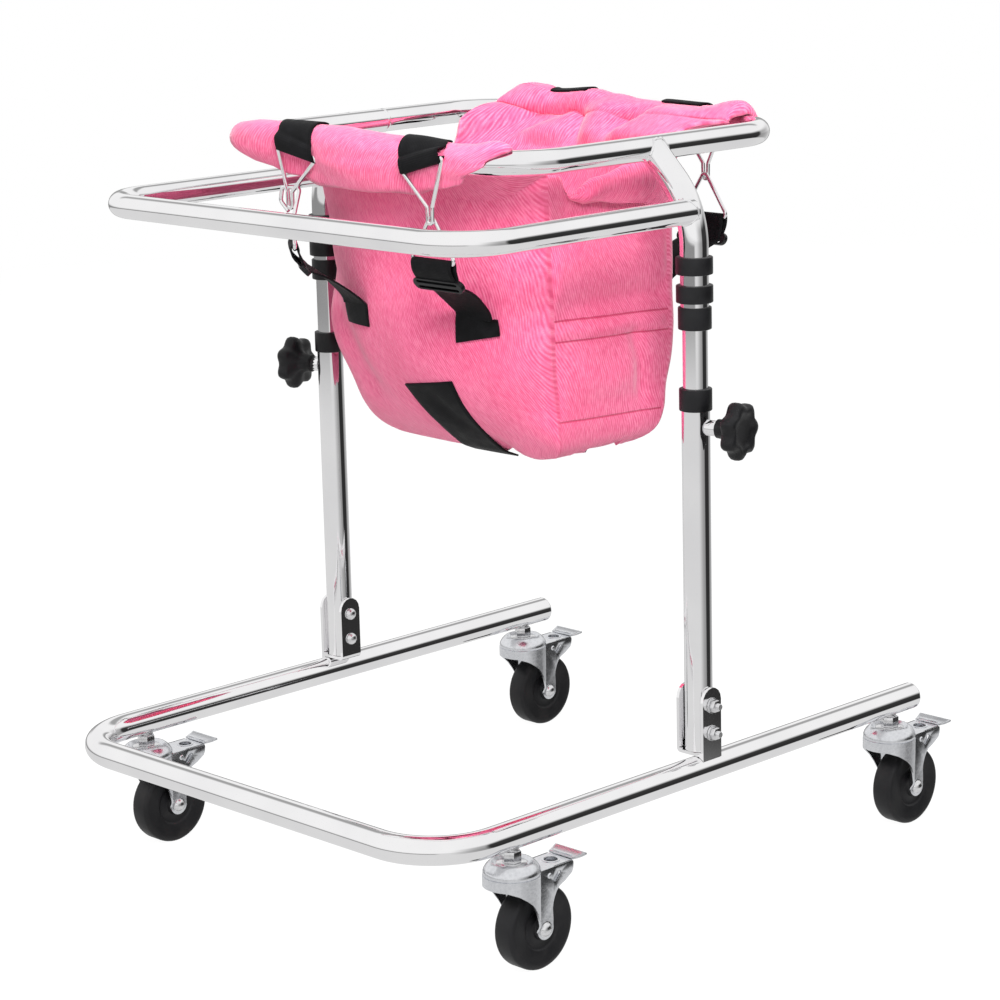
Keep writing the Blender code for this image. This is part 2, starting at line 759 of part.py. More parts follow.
def attach(obj, empty):
    obj.parent = empty
    return obj


def caster_stem(name, empty):
    """Threaded stem with its nut, and the two race flanges that trap the fork's cap."""
    shank = STEM_DIAMETER / 2
    thread_top = RAIL_UNDERSIDE_Z + 0.018
    nut_top = RAIL_UNDERSIDE_Z - GAP
    race = DISH_Z + GAP
    profile = [
        (0, thread_top),
        (shank, thread_top),
        (shank, race + 0.0018),
        (CAP_HOLE_RADIUS + 0.0016, race + 0.0018),
        (CAP_HOLE_RADIUS + 0.0016, race),
        (CAP_HOLE_RADIUS - GAP, race),
        (CAP_HOLE_RADIUS - GAP, race - FORK_SHEET - 2 * GAP),
        (CAP_HOLE_RADIUS + 0.0032, race - FORK_SHEET - 2 * GAP),
        (CAP_HOLE_RADIUS + 0.0032, CHEEK_TOP_Z + 2 * GAP),
        (0, CHEEK_TOP_Z + 2 * GAP),
    ]
    stem = turned(f"caster_stem_{name}", profile, Matrix.Identity(4), material=BRIGHT_STEEL)
    nut = cylinder(
        f"stem_nut_{name}",
        hex_across(STEM_NUT_ACROSS),
        nut_top - race - 0.001,
        Matrix.Translation((0, 0, race + 0.001)),
        sides=6,
    )
    attach(nut, empty)
    boolean(stem, nut, "UNION")
    shade(stem)
    attach(stem, empty)


def fork_side_outline():
    """One side plate in Y and Z: the S-curved leg to the axle lobe and the brake housing's tail."""
    lobe = arc((WHEEL_TRAIL, AXLE_Z), AXLE_LOBE_RADIUS, 200, 360, 6)
    front = [
        (-0.0175, CHEEK_TOP_Z),
        (-0.0175, CAP_BASE_Z + 0.001),
        (-0.008, CAP_BASE_Z - 0.005),
        (0.0005, CAP_BASE_Z - 0.0130),
        (0.0060, CAP_BASE_Z - 0.0215),
        (0.0105, CAP_BASE_Z - 0.0310),
    ]
    rear = [
        (WHEEL_TRAIL + 0.0092, CAP_BASE_Z - 0.0260),
        (WHEEL_TRAIL + 0.0108, CAP_BASE_Z - 0.0180),
        (WHEEL_TRAIL + 0.0145, CAP_BASE_Z - 0.0120),
        (WHEEL_TRAIL + 0.0190, CAP_BASE_Z - 0.0085),
        (HOUSING_REACH - 0.005, CAP_BASE_Z - 0.0010),
        (HOUSING_REACH, CAP_BASE_Z + 0.0070),
        (0.020, CAP_BASE_Z + 0.0090),
        (0.0175, CHEEK_TOP_Z),
    ]
    return front + lobe + rear


def caster_fork(name, empty):
    """The pressed cap, two side plates, the brake housing's top and its rivet, as one pressing."""
    top = CAP_TOP_Z
    hole = polygon_bore(2 * CAP_HOLE_RADIUS, TURNED_SEGMENTS) / 2
    profile = [
        (hole, DISH_Z),
        (0.0146, DISH_Z),
        (0.0174, top),
        (0.0232, top - 0.0040),
        (CAP_RADIUS, top - 0.0085),
        (CAP_RADIUS - 0.0012, CAP_BASE_Z - SKIRT_DROP),
        (CAP_RADIUS - 0.0034, CAP_BASE_Z - SKIRT_DROP),
        (CAP_RADIUS - 0.0024, top - 0.0086),
        (0.0222, top - 0.0060),
        (0.0178, top - 0.0029),
        (0.0158, DISH_Z - FORK_SHEET),
        (hole, DISH_Z - FORK_SHEET),
    ]
    fork = turned(f"caster_fork_{name}", profile, Matrix.Identity(4), closed=True, material=ZINC)
    attach(fork, empty)
    plate_x = FORK_OUTER_X - FORK_SHEET / 2
    for side, sign in SIDES.items():
        cheek = plate(
            f"fork_cheek_{name}_{side}",
            fork_side_outline(),
            FORK_SHEET,
            Matrix.Translation((sign * plate_x, 0, 0)) @ SIDE_PLANE,
            collection=CUTTERS,
        )
        boolean(fork, attach(cheek, empty), "UNION")
    cover = box(
        f"housing_top_{name}",
        (-FORK_OUTER_X + 0.0004, 0.0205, CAP_BASE_Z + 0.0052),
        (FORK_OUTER_X - 0.0004, HOUSING_REACH - 0.001, CAP_BASE_Z + 0.0072),
    )
    boolean(fork, attach(cover, empty), "UNION")
    rivet = cylinder(
        f"brake_rivet_{name}",
        0.004,
        2 * FORK_OUTER_X - FORK_SHEET,
        along((1, 0, 0), (-FORK_OUTER_X + FORK_SHEET / 2, BRAKE_PIVOT_BACK, BRAKE_PIVOT_Z)),
        sides=10,
    )
    boolean(fork, attach(rivet, empty), "UNION")
    axle_hole = cylinder(
        f"axle_hole_{name}",
        polygon_bore(AXLE_DIAMETER + 2 * GAP, 12),
        4 * FORK_OUTER_X,
        along((1, 0, 0), (-2 * FORK_OUTER_X, WHEEL_TRAIL, AXLE_Z)),
        sides=12,
    )
    boolean(fork, attach(axle_hole, empty))
    slot = plate(
        f"cheek_slot_{name}",
        arc((0.0030, 0), 0.0021, -90, 90, 4) + arc((-0.0030, 0), 0.0021, 90, 270, 4),
        4 * FORK_OUTER_X,
        Matrix.Translation((0, 0.0385, CAP_BASE_Z - 0.0025)) @ SIDE_PLANE @ Matrix.Rotation(math.radians(45), 4, "Z"),
        collection=CUTTERS,
    )
    boolean(fork, attach(slot, empty))
    window = cylinder(
        f"housing_window_{name}",
        0.009,
        0.006,
        Matrix.Translation((0, 0.051, CAP_BASE_Z + 0.0035)),
        sides=10,
    )
    boolean(fork, attach(window, empty))
    shade(fork)


def caster_axle(name, empty):
    """Hexagon-headed bolt through fork and hub, with its nut."""
    shank = cylinder(
        f"caster_axle_{name}",
        AXLE_DIAMETER,
        2 * FORK_OUTER_X + 2 * AXLE_HEAD_THICKNESS,
        along((1, 0, 0), (-FORK_OUTER_X - AXLE_HEAD_THICKNESS - GAP, WHEEL_TRAIL, AXLE_Z)),
        sides=12,
        material=BRIGHT_STEEL,
        collection=PARTS,
    )
    attach(shank, empty)
    for side, sign in SIDES.items():
        start = FORK_OUTER_X + GAP
        head = cylinder(
            f"axle_head_{name}_{side}",
            hex_across(AXLE_HEAD_ACROSS),
            AXLE_HEAD_THICKNESS,
            along((sign, 0, 0), (sign * start, WHEEL_TRAIL, AXLE_Z)),
            sides=6,
        )
        boolean(shank, attach(head, empty), "UNION")
    shade(shank)


def caster_wheel(name, empty):
    """Solid rubber wheel. One facet of its tread lies flat on the floor."""
    tread = WHEEL_RADIUS / math.cos(math.pi / WHEEL_SEGMENTS)
    half = WHEEL_WIDTH / 2
    hub = HUB_WIDTH / 2
    bore = polygon_bore(AXLE_DIAMETER + 2 * GAP, WHEEL_SEGMENTS) / 2
    upper = [
        (bore, hub),
        (HUB_DIAMETER / 2, hub),
        (HUB_DIAMETER / 2 + 0.0015, half - 0.0022),
        (WHEEL_RADIUS - 0.0125, half - 0.0012),
        (WHEEL_RADIUS - 0.0040, half),
        (tread, half - WHEEL_SHOULDER),
    ]
    profile = upper + [(radius, -height) for radius, height in reversed(upper)]
    half_facet = Matrix.Rotation(math.pi / WHEEL_SEGMENTS, 4, "Z")
    matrix = along((1, 0, 0), (0, WHEEL_TRAIL, AXLE_Z)) @ half_facet
    wheel = turned(
        f"caster_wheel_{name}", profile, matrix, WHEEL_SEGMENTS, closed=True, material=RUBBER
    )
    shade(wheel)
    attach(wheel, empty)


def caster_brake(name, empty):
    """The brake lever: an arm on the rivet, a shoe over the tread and a wide foot tab."""
    pivot = (BRAKE_PIVOT_BACK, BRAKE_PIVOT_Z)
    eye = 0.0042
    level = CAP_BASE_Z + 0.0042
    outline = arc(pivot, eye, 130, 270, 5)
    outline += [
        (0.0370, CAP_BASE_Z - 0.0045),
        (0.0400, CAP_BASE_Z - 0.0090),
        (0.0440, CAP_BASE_Z - 0.0090),
        (0.0452, CAP_BASE_Z + 0.0012),
        (HOUSING_REACH + 0.0008, CAP_BASE_Z + 0.0022),
        (HOUSING_REACH + 0.0034, CAP_BASE_Z + 0.0050),
        (HOUSING_REACH + 0.0034, CAP_BASE_Z + 0.0105),
        (HOUSING_REACH + 0.0012, CAP_BASE_Z + 0.0105),
        (HOUSING_REACH + 0.0008, level),
        (0.0380, level),
    ]
    arm_width = HUB_WIDTH - 0.0034
    lever = plate(f"caster_brake_{name}", outline, arm_width, SIDE_PLANE, ZINC)
    attach(lever, empty)
    front = HOUSING_REACH + 0.0010
    tab = plate(
        f"brake_tab_{name}",
        [
            (-PEDAL_HALF_WIDTH + 0.0035, front),
            (PEDAL_HALF_WIDTH - 0.0035, front),
            (PEDAL_HALF_WIDTH, PEDAL_REACH),
            (-PEDAL_HALF_WIDTH, PEDAL_REACH),
        ],
        PEDAL_SHEET,
        Matrix.Translation((0, 0, CAP_BASE_Z + 0.0105)),
        collection=CUTTERS,
    )
    boolean(lever, attach(tab, empty), "UNION")
    eye_hole = cylinder(
        f"brake_eye_{name}",
        polygon_bore(0.004 + 2 * GAP, 10),
        4 * FORK_OUTER_X,
        along((1, 0, 0), (-2 * FORK_OUTER_X, BRAKE_PIVOT_BACK, BRAKE_PIVOT_Z)),
        sides=10,
    )
    boolean(lever, attach(eye_hole, empty))
    shade(lever)


def casters():
    for name, x, y in caster_places():
        empty = swivel_empty(name, x, y)
        caster_stem(name, empty)
        caster_fork(name, empty)
        caster_axle(name, empty)
        caster_wheel(name, empty)
        caster_brake(name, empty)


# Seat sling


def ring_bar_point(distance, end):
    """The ring's centre line and outward direction, this far to the right along a bar."""
    y = RING_FRONT_Y if end < 0 else RING_REAR_Y
    reach = abs(distance) - RING_STRAIGHT
    if reach <= 0:
        return Vector((distance, y, RING_Z)), Vector((0, end, 0))
    angle = reach / RING_BEND_RADIUS
    side = math.copysign(1, distance)
    outward = Vector((side * math.sin(angle), end * math.cos(angle), 0))
    centre = Vector((side * RING_STRAIGHT, y - end * RING_BEND_RADIUS, RING_Z))
    return centre + outward * RING_BEND_RADIUS, outward


# The pouch's outline at each height above its floor: half width as a share of the full one is
# a taper, the rest are the Y of the side seams and of the middle of the panels.
POUCH_ROWS = [
    # height, taper in, front seam, front middle, rear seam, rear middle
    (0.0000, 0.0390, -0.028, -0.036, 0.066, 0.086),
    (0.0110, 0.0200, -0.040, -0.052, 0.078, 0.104),
    (0.0300, 0.0110, -0.049, -0.074, 0.083, 0.115),
    (0.0550, 0.0080, -0.053, -0.096, 0.083, 0.121),
    (0.0860, 0.0030, -0.061, -0.111, 0.083, 0.125),
    (0.1200, 0.0000, -0.065, -0.117, 0.082, 0.128),
    (0.1700, 0.0000, -0.067, -0.121, 0.082, 0.130),
    (0.2150, 0.0000, -0.069, -0.127, 0.082, 0.134),
    (0.2420, 0.0000, -0.070, -0.132, 0.080, 0.140),
]
PANEL_STEPS = 12
SIDE_STEPS = 4


def roll_columns(ends):
    """Distances along a bar for the columns of a roll, matched to the facets of its bends."""
    facet = RING_BEND_RADIUS * math.pi / 2 / BEND_STEPS
    sides = []
    for end in ends:
        sign = math.copysign(1, end)
        count = math.ceil((abs(end) - RING_STRAIGHT) / facet - 0.01)
        distances = [sign * min(RING_STRAIGHT + facet * step, abs(end)) for step in range(count + 1)]
        sides.append(distances)
    middle = PANEL_STEPS + 1 - len(sides[0]) - len(sides[1])
    inner = [RING_STRAIGHT * (2 * (step + 1) / (middle + 1) - 1) for step in range(middle)]
    return list(reversed(sides[0])) + inner + sides[1]


def panel_shares(ends):
    """How far across the pouch's panel each column lies, from -1 at the left seam to 1."""
    return [distance / abs(ends[0] if distance < 0 else ends[1]) for distance in roll_columns(ends)]


def pouch_loop(row):
    """One closed loop round the pouch, from the front left seam and on to the right."""
    height, taper, front_seam, front_middle, rear_seam, rear_middle = row
    half = SLING_HALF_WIDTH - taper
    z = SLING_BASE_Z + height
    loop = []
    for share in panel_shares(FRONT_ROLL_ENDS)[:-1]:
        depth = (front_middle - front_seam) * math.sqrt(1 - share * share)
        loop.append(Vector((half * share, front_seam + depth, z)))
    for step in range(SIDE_STEPS):
        loop.append(Vector((half, front_seam + (rear_seam - front_seam) * step / SIDE_STEPS, z)))
    for share in reversed(panel_shares(REAR_ROLL_ENDS)[1:]):
        depth = (rear_middle - rear_seam) * math.sqrt(1 - share * share)
        loop.append(Vector((half * share, rear_seam + depth, z)))
    for step in range(SIDE_STEPS):
        loop.append(Vector((-half, rear_seam + (front_seam - rear_seam) * step / SIDE_STEPS, z)))
    return loop


ROLL_ANGLES = (-95, -52, -9, 34, 77, 120)


def roll_column(distance, end):
    """Points round the ring's tube, from inside the ring over its top and down outside."""
    centre, outward = ring_bar_point(distance, end)
    up = Vector((0, 0, 1))
    points = []
    for degrees in ROLL_ANGLES:
        angle = math.radians(degrees)
        points.append(centre + ROLL_CONTACT_RADIUS * (outward * math.sin(angle) + up * math.cos(angle)))
    return points


HEM_PATH = [(0, 0.008), (0.0015, 0.0165), (0.0065, 0.0185), (0.0105, 0.0145), (0.0115, 0.002)]


def hem_column(seam_point, sign):
    """The gusset's top edge, folded outwards and down."""
    return [seam_point + Vector((sign * out, 0, up)) for out, up in HEM_PATH]


def sling_seat():
    """One pouch of padded cloth: rolled over the ring's front and rear bars, hemmed at the
    sides, with two leg holes in its floor."""
    mesh = bpy.data.meshes.new("sling_seat")
    bm = bmesh.new()
    weights = bm.verts.layers.deform.verify()
    thin = CLOTH_THICKNESS / ROLL_THICKNESS

    def add(point, weight=thin):
        vert = bm.verts.new(point)
        vert[weights][0] = weight
        return vert

    def bridge(lower, upper, wrap):
        count = len(lower)
        for index in range(count if wrap else count - 1):
            after = (index + 1) % count
            bm.faces.new((lower[index], lower[after], upper[after], upper[index]))

    floor_loop = pouch_loop(POUCH_ROWS[0])
    middle = sum(floor_loop, Vector()) / len(floor_loop)
    inner_loop = [add(middle + (point - middle) * 0.5) for point in floor_loop]
    loops = [inner_loop] + [[add(point) for point in pouch_loop(row)] for row in POUCH_ROWS]
    pole = add(middle)
    count = len(inner_loop)
    for index in range(count):
        bm.faces.new((pole, inner_loop[(index + 1) % count], inner_loop[index]))
    for lower, upper in zip(loops, loops[1:]):
        bridge(lower, upper, True)

    brim = loops[-1]
    right_seam = PANEL_STEPS
    rear_right_seam = PANEL_STEPS + SIDE_STEPS
    rear_left_seam = 2 * PANEL_STEPS + SIDE_STEPS
    spans = [
        (brim[: right_seam + 1], -1, roll_columns(FRONT_ROLL_ENDS)),
        (brim[rear_right_seam : rear_left_seam + 1], 1, reversed(roll_columns(REAR_ROLL_ENDS))),
    ]
    for edge, end, distances in spans:
        columns = [roll_column(distance, end) for distance in distances]
        rows = [edge]
        for row in range(len(ROLL_ANGLES)):
            weight = 0.55 if row == 0 else 1.0
            rows.append([add(column[row], weight) for column in columns])
        for lower, upper in zip(rows, rows[1:]):
            bridge(lower, upper, False)
    sides = [
        (brim[right_seam : rear_right_seam + 1], 1),
        (brim[rear_left_seam:] + brim[:1], -1),
    ]
    for edge, sign in sides:
        columns = [hem_column(vert.co.copy(), sign) for vert in edge]
        rows = [edge]
        for row in range(len(HEM_PATH)):
            rows.append([add(column[row]) for column in columns])
        for lower, upper in zip(rows, rows[1:]):
            bridge(lower, upper, False)
    bm.normal_update()
    bm.to_mesh(mesh)
    bm.free()
    sling = place("sling_seat", mesh, PARTS, PINK_CLOTH)
    sling.vertex_groups.new(name="thickness")
    solidify = sling.modifiers.new("cloth", "SOLIDIFY")
    solidify.thickness = ROLL_THICKNESS
    solidify.offset = -1
    solidify.vertex_group = "thickness"
    for side, sign in SIDES.items():
        hole = cylinder(
            f"leg_hole_{side}",
            1,
            0.04,
            Matrix.Translation(
                (sign * (CROTCH_WIDTH + LEG_HOLE_WIDTH) / 2, LEG_HOLE_Y, SLING_BASE_Z - 0.02)
            )
            @ Matrix.Diagonal((LEG_HOLE_WIDTH, LEG_HOLE_LENGTH, 1, 1)),
            sides=16,
        )
        boolean(sling, hole)
    shade(sling, 60)


def pouch_panel_y(x, z, end):
    """The Y of the pouch's outside at this X and Z, on its front or rear panel."""
    height = z - SLING_BASE_Z
    for lower, upper in zip(POUCH_ROWS, POUCH_ROWS[1:]):
        if lower[0] <= height <= upper[0]:
            break
    share = (height - lower[0]) / (upper[0] - lower[0])
    first = 2 if end < 0 else 4
    seam = lower[first] + (upper[first] - lower[first]) * share
    middle = lower[first + 1] + (upper[first + 1] - lower[first + 1]) * share
    half = SLING_HALF_WIDTH - lower[1] - (upper[1] - lower[1]) * share
    return seam + (middle - seam) * math.sqrt(max(0, 1 - (x / half) ** 2))


# Sling hardware: a wire hook hangs from each top strap, a wire ring hangs in the hook, and a
# strap with a slider runs from the ring to the pouch. Heights are taken down from the ring.

HOOK_BAR_DROP = RING_TUBE_DIAMETER / 2 - 0.005
ROLL_OUTSIDE = RING_TUBE_DIAMETER / 2 + FABRIC_GAP + ROLL_THICKNESS
HOOK_BAR_OUT = ROLL_OUTSIDE - 0.0012 + WIRE_DIAMETER / 2 + WIRE_GAP
NECK_OUT = RING_TUBE_DIAMETER / 2 - 0.001
NECK_DROP = RING_TUBE_DIAMETER / 2 + 0.025
HOOK_BOTTOM_DROP = NECK_DROP + 0.0115
RING_BAR_DROP = NECK_DROP + 0.052
SLIDER_DROP = NECK_DROP + 0.069
STRAP_END_DROP = NECK_DROP + 0.126


def bar_y(end):
    return RING_FRONT_Y if end < 0 else RING_REAR_Y


def snap_hook(name, sign, end):
    """One bent wire: a wide bar in the strap's loop, two legs to the neck, and a hook."""
    bar_x = sign * HOOK_SPACING
    neck_x = sign * NECK_SPACING
    half = HOOK_WIDTH / 2
    loop = WIRE_DIAMETER + WIRE_GAP
    inward = -end
    y = bar_y(end)
    out = end * HOOK_BAR_OUT
    neck_out = end * NECK_OUT

    def spot(x, dy, drop):
        return Vector((x, y + dy, RING_Z - drop))

    corners = [
        spot(neck_x, neck_out + inward * loop, NECK_DROP + 0.002),
        spot(neck_x, neck_out + inward * loop, HOOK_BOTTOM_DROP),
        spot(neck_x, neck_out - inward * loop, HOOK_BOTTOM_DROP),
        spot(neck_x - 0.0026, neck_out - inward * 0.004, NECK_DROP),
        spot(bar_x - half, out, HOOK_BAR_DROP),
        spot(bar_x + half, out, HOOK_BAR_DROP),
        spot(neck_x + 0.0026, neck_out - inward * 0.004, NECK_DROP),
    ]
    path = bent_path(corners, 0.0026, steps=1)
    rod(name, path, WIRE_DIAMETER, WIRE_SIDES, BRIGHT_STEEL)


def strap_ring(name, sign, end):
    """A closed triangle of wire, its top in the hook and its wide bar in the strap."""
    centre = sign * NECK_SPACING
    half = RING_WIDTH / 2
    y = bar_y(end) + end * NECK_OUT
    top = RING_Z - HOOK_BOTTOM_DROP + WIRE_DIAMETER + WIRE_GAP
    corners = [
        (centre, y, top + 0.004),
        (centre + half, y, RING_Z - RING_BAR_DROP),
        (centre - half, y, RING_Z - RING_BAR_DROP),
    ]
    path = bent_path(corners, 0.004, closed=True, steps=2)
    rod(name, path, WIRE_DIAMETER, WIRE_SIDES, BRIGHT_STEEL, closed=True)


def lower_strap(name, sign, end):
    """Flat webbing looped over the wire ring's bar, through its slider and in to the pouch."""
    centre = sign * NECK_SPACING
    half = STRAP_WIDTH / 2
    ring_y = bar_y(end) + end * NECK_OUT
    bar_z = RING_Z - RING_BAR_DROP
    slider_z = RING_Z - SLIDER_DROP
    slider_y = ring_y - end * 0.001
    turn = (WIRE_DIAMETER / 2 + WIRE_GAP) / math.cos(math.pi / 8) + STRAP_THICKNESS / 2
    ply = STRAP_THICKNESS / 2 + GAP / 2
    landing_z = RING_Z - STRAP_END_DROP + 0.034
    end_z = RING_Z - STRAP_END_DROP
    columns = 4
    mesh = bpy.data.meshes.new(name)
    bm = bmesh.new()
    rows = []
    for column in range(columns + 1):
        across = centre + half * (2 * column / columns - 1)
        lean = -sign * 0.010
        offset = end * (STRAP_THICKNESS / 2 + 2 * GAP)
        landing_y = pouch_panel_y(across + lean, landing_z, end) + offset
        end_y = pouch_panel_y(across + lean, end_z, end) + offset
        points = [(across, slider_y - end * ply, slider_z)]
        for y, z in arc((0, 0), turn, 180, 0, 4):
            points.append((across, ring_y + end * y, bar_z + z))
        points += [
            (across, slider_y + end * ply, slider_z + SLIDER_HEIGHT / 2),
            (across, slider_y + end * ply, slider_z - SLIDER_HEIGHT / 2),
            (across + lean, landing_y + end * 0.004, landing_z + 0.008),
            (across + lean, landing_y, landing_z - 0.002),
            (across + lean, end_y, end_z),
        ]
        rows.append([bm.verts.new(point) for point in points])
    for left, right in zip(rows, rows[1:]):
        for index in range(len(left) - 1):
            bm.faces.new((left[index], left[index + 1], right[index + 1], right[index]))
    bm.to_mesh(mesh)
    bm.free()
    strap = place(name, mesh, PARTS, WEBBING)
    solidify = strap.modifiers.new("webbing", "SOLIDIFY")
    solidify.thickness = STRAP_THICKNESS
    solidify.offset = 0
    solidify.use_even_offset = True
    slider = box(
        f"slider_{name}",
        (centre - SLIDER_WIDTH / 2, slider_y - SLIDER_THICKNESS / 2, slider_z - SLIDER_HEIGHT / 2),
        (centre + SLIDER_WIDTH / 2, slider_y + SLIDER_THICKNESS / 2, slider_z + SLIDER_HEIGHT / 2),
    )
    boolean(strap, slider, "UNION")


def sling_hardware():
    for end_name, end in ENDS.items():
        for side, sign in SIDES.items():
            snap_hook(f"snap_hook_{end_name}_{side}", sign, end)
            strap_ring(f"strap_ring_{end_name}_{side}", sign, end)
            lower_strap(f"lower_strap_{end_name}_{side}", sign, end)


base_frame()
rail_end_plugs()
brackets()
bracket_bolts()
upright_tubes()
bushes_and_stops()
clamp_knobs()
legs_and_handlebar(upper_ring())
casters()
sling_seat()
sling_hardware()
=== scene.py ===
# %% [markdown]
# A pediatric walker: a chromed U-shaped base on four braked casters, two uprights that telescope,
# a rounded upper ring with a front handlebar, and a pink cloth sling clipped to the ring. The CAD
# frame says where every piece sits. This script gives the pieces their real outlines and finishes.

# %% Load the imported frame
import math

import bmesh
import bpy
from mathutils import Matrix, Vector, noise


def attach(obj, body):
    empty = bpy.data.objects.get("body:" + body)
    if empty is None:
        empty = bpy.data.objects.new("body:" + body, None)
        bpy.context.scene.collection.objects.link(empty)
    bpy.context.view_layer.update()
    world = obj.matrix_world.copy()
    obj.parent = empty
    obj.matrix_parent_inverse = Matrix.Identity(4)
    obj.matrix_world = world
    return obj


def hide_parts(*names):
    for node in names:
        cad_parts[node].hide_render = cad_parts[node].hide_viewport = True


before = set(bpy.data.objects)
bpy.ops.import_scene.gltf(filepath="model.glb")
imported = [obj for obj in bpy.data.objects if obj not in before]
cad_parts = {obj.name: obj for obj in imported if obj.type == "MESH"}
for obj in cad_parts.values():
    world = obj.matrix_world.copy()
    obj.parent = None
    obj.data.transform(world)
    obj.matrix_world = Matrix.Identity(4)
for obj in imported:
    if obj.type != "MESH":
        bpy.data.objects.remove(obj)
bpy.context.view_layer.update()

MM = 0.001

# %% [markdown]
# The camera stands where the photograph was taken from: well to the right of the handlebar, a
# little above the ring, with a long lens. Its three axes are worked out from the azimuth,
# elevation and roll, because a matrix built from axes can't be turned the wrong way by accident.

# %% Camera
azimuth, elevation, roll = (math.radians(a) for a in (45.76, 12.88, 1.43))
right = Vector((math.cos(azimuth), math.sin(azimuth), 0))
level = Vector((-math.sin(azimuth), math.cos(azimuth), 0))
ahead = level * math.cos(elevation) - Vector((0, 0, math.sin(elevation)))
down = ahead.cross(right)
across = right * math.cos(roll) + down * math.sin(roll)
below = down * math.cos(roll) - right * math.sin(roll)
camera = bpy.data.objects.new("camera", bpy.data.cameras.new("camera"))
bpy.context.scene.collection.objects.link(camera)
camera.data.sensor_width = 36
camera.data.lens = 108.66
camera.data.clip_end = 50
turned = Matrix((across, -below, -ahead)).transposed().to_4x4()
camera.matrix_world = Matrix.Translation((1.9639, -1.9139, 0.9601)) @ turned
bpy.context.scene.camera = camera
print("camera at", tuple(round(c, 3) for c in camera.location))

# %% [markdown]
# Shader maths reads best as plain formulas, so a small class lets Python's operators build the
# Math nodes. Every other node comes from one method that takes its settings first and its
# socket values second.

# %% Shader helpers


def operator(operation, reflected=False):
    """A method that builds one Math node for one of Python's operators."""
    if reflected:
        return lambda self, other: self.work(operation, other, self)
    return lambda self, *other: self.work(operation, self, *other)


class Value:
    """A number or colour in a node tree."""

    __add__, __radd__ = operator("ADD"), operator("ADD", True)
    __sub__, __rsub__ = operator("SUBTRACT"), operator("SUBTRACT", True)
    __mul__, __rmul__ = operator("MULTIPLY"), operator("MULTIPLY", True)
    __abs__, sine = operator("ABSOLUTE"), operator("SINE")

    def __init__(self, graph, socket):
        self.graph, self.socket = graph, socket

    def work(self, operation, *terms):
        return self.graph.node("ShaderNodeMath", {"operation": operation}, dict(enumerate(terms)))

    def ramp(self, low, high, start=0.0, end=1.0):
        """A smooth step from start to end while this value goes from low to high."""
        inputs = {"Value": self, "From Min": low, "From Max": high, "To Min": start, "To Max": end}
        return self.graph.node("ShaderNodeMapRange", {"interpolation_type": "SMOOTHSTEP"}, inputs)

    def band(self, centre, half, soft):
        """1 within half of the centre, fading out over soft."""
        return abs(self - centre).ramp(half, half + soft, 1.0, 0.0)


class Graph:
    """A node tree, and the one way this script adds a node to it."""

    def __init__(self, tree):
        self.tree = tree

    def node(self, kind, settings=None, inputs=None, output=0):
        made = self.tree.nodes.new(kind)
        for name, value in (settings or {}).items():
            setattr(made, name, value)
        for key, value in (inputs or {}).items():
            if isinstance(value, Value):
                self.tree.links.new(value.socket, made.inputs[key])
            else:
                made.inputs[key].default_value = value
        return Value(self, made.outputs[output])

    def mix(self, factor, first, second):
        return self.node("ShaderNodeMix", {"data_type": "RGBA"}, {0: factor, 6: first, 7: second}, 2)

    def noise(self, where, scale, detail=3.0, roughness=0.5):
        inputs = {"Vector": where, "Scale": scale, "Detail": detail, "Roughness": roughness}
        return self.node("ShaderNodeTexNoise", {}, inputs)

    def parts(self, vector):
        """The X, Y and Z of a vector."""
        made = self.node("ShaderNodeSeparateXYZ", {}, {0: vector}).socket.node
        return [Value(self, output) for output in made.outputs]

    def bump(self, height, strength, distance):
        inputs = {"Height": height, "Strength": strength, "Distance": distance}
        return self.node("ShaderNodeBump", {}, inputs)


def new_material(name, **uniform):
    """The graph of a Principled material with these uniform numbers, and its Object coordinates."""
    material = bpy.data.materials.new(name)
    material.use_nodes = True
    material["slot"] = name
    graph = Graph(material.node_tree)
    graph.material, graph.shader = material, material.node_tree.nodes["Principled BSDF"]
    for key, value in uniform.items():
        graph.shader.inputs[key.replace("_", " ").title().replace("Ior", "IOR")].default_value = value
    return graph, graph.node("ShaderNodeTexCoord", output=3)


def feed(graph, **sockets):
    """Links what varies to the shader, and gives the finished material."""
    for key, value in sockets.items():
        graph.tree.links.new(value.socket, graph.shader.inputs[key.replace("_", " ").title()])
    return graph.material


def grey(level, blue=0.0):
    """A colour of one level, a little bluer where wanted."""
    return level, level, level + blue, 1


print("shader helpers ready")

# %% [markdown]
# Chrome has hardly any colour of its own: it shows the room. So its material is nearly a mirror,
# with a faint polishing haze in its colour and roughness. The sharp dark lines along the tubes
# come from the lighting, further down.

# %% Chrome
graph, place = new_material("chrome", metallic=1.0)
haze = graph.noise(place, 14.0, 4.0)
fine = graph.noise(place, 420.0, 2.0)
CHROME = feed(
    graph,
    base_color=graph.mix(haze.ramp(0.3, 0.7), (0.88, 0.875, 0.885, 1), (0.94, 0.935, 0.94, 1)),
    roughness=haze.ramp(0.35, 0.75, 0.03, 0.055) + fine * 0.02,
)
print("chrome nodes:", len(CHROME.node_tree.nodes))
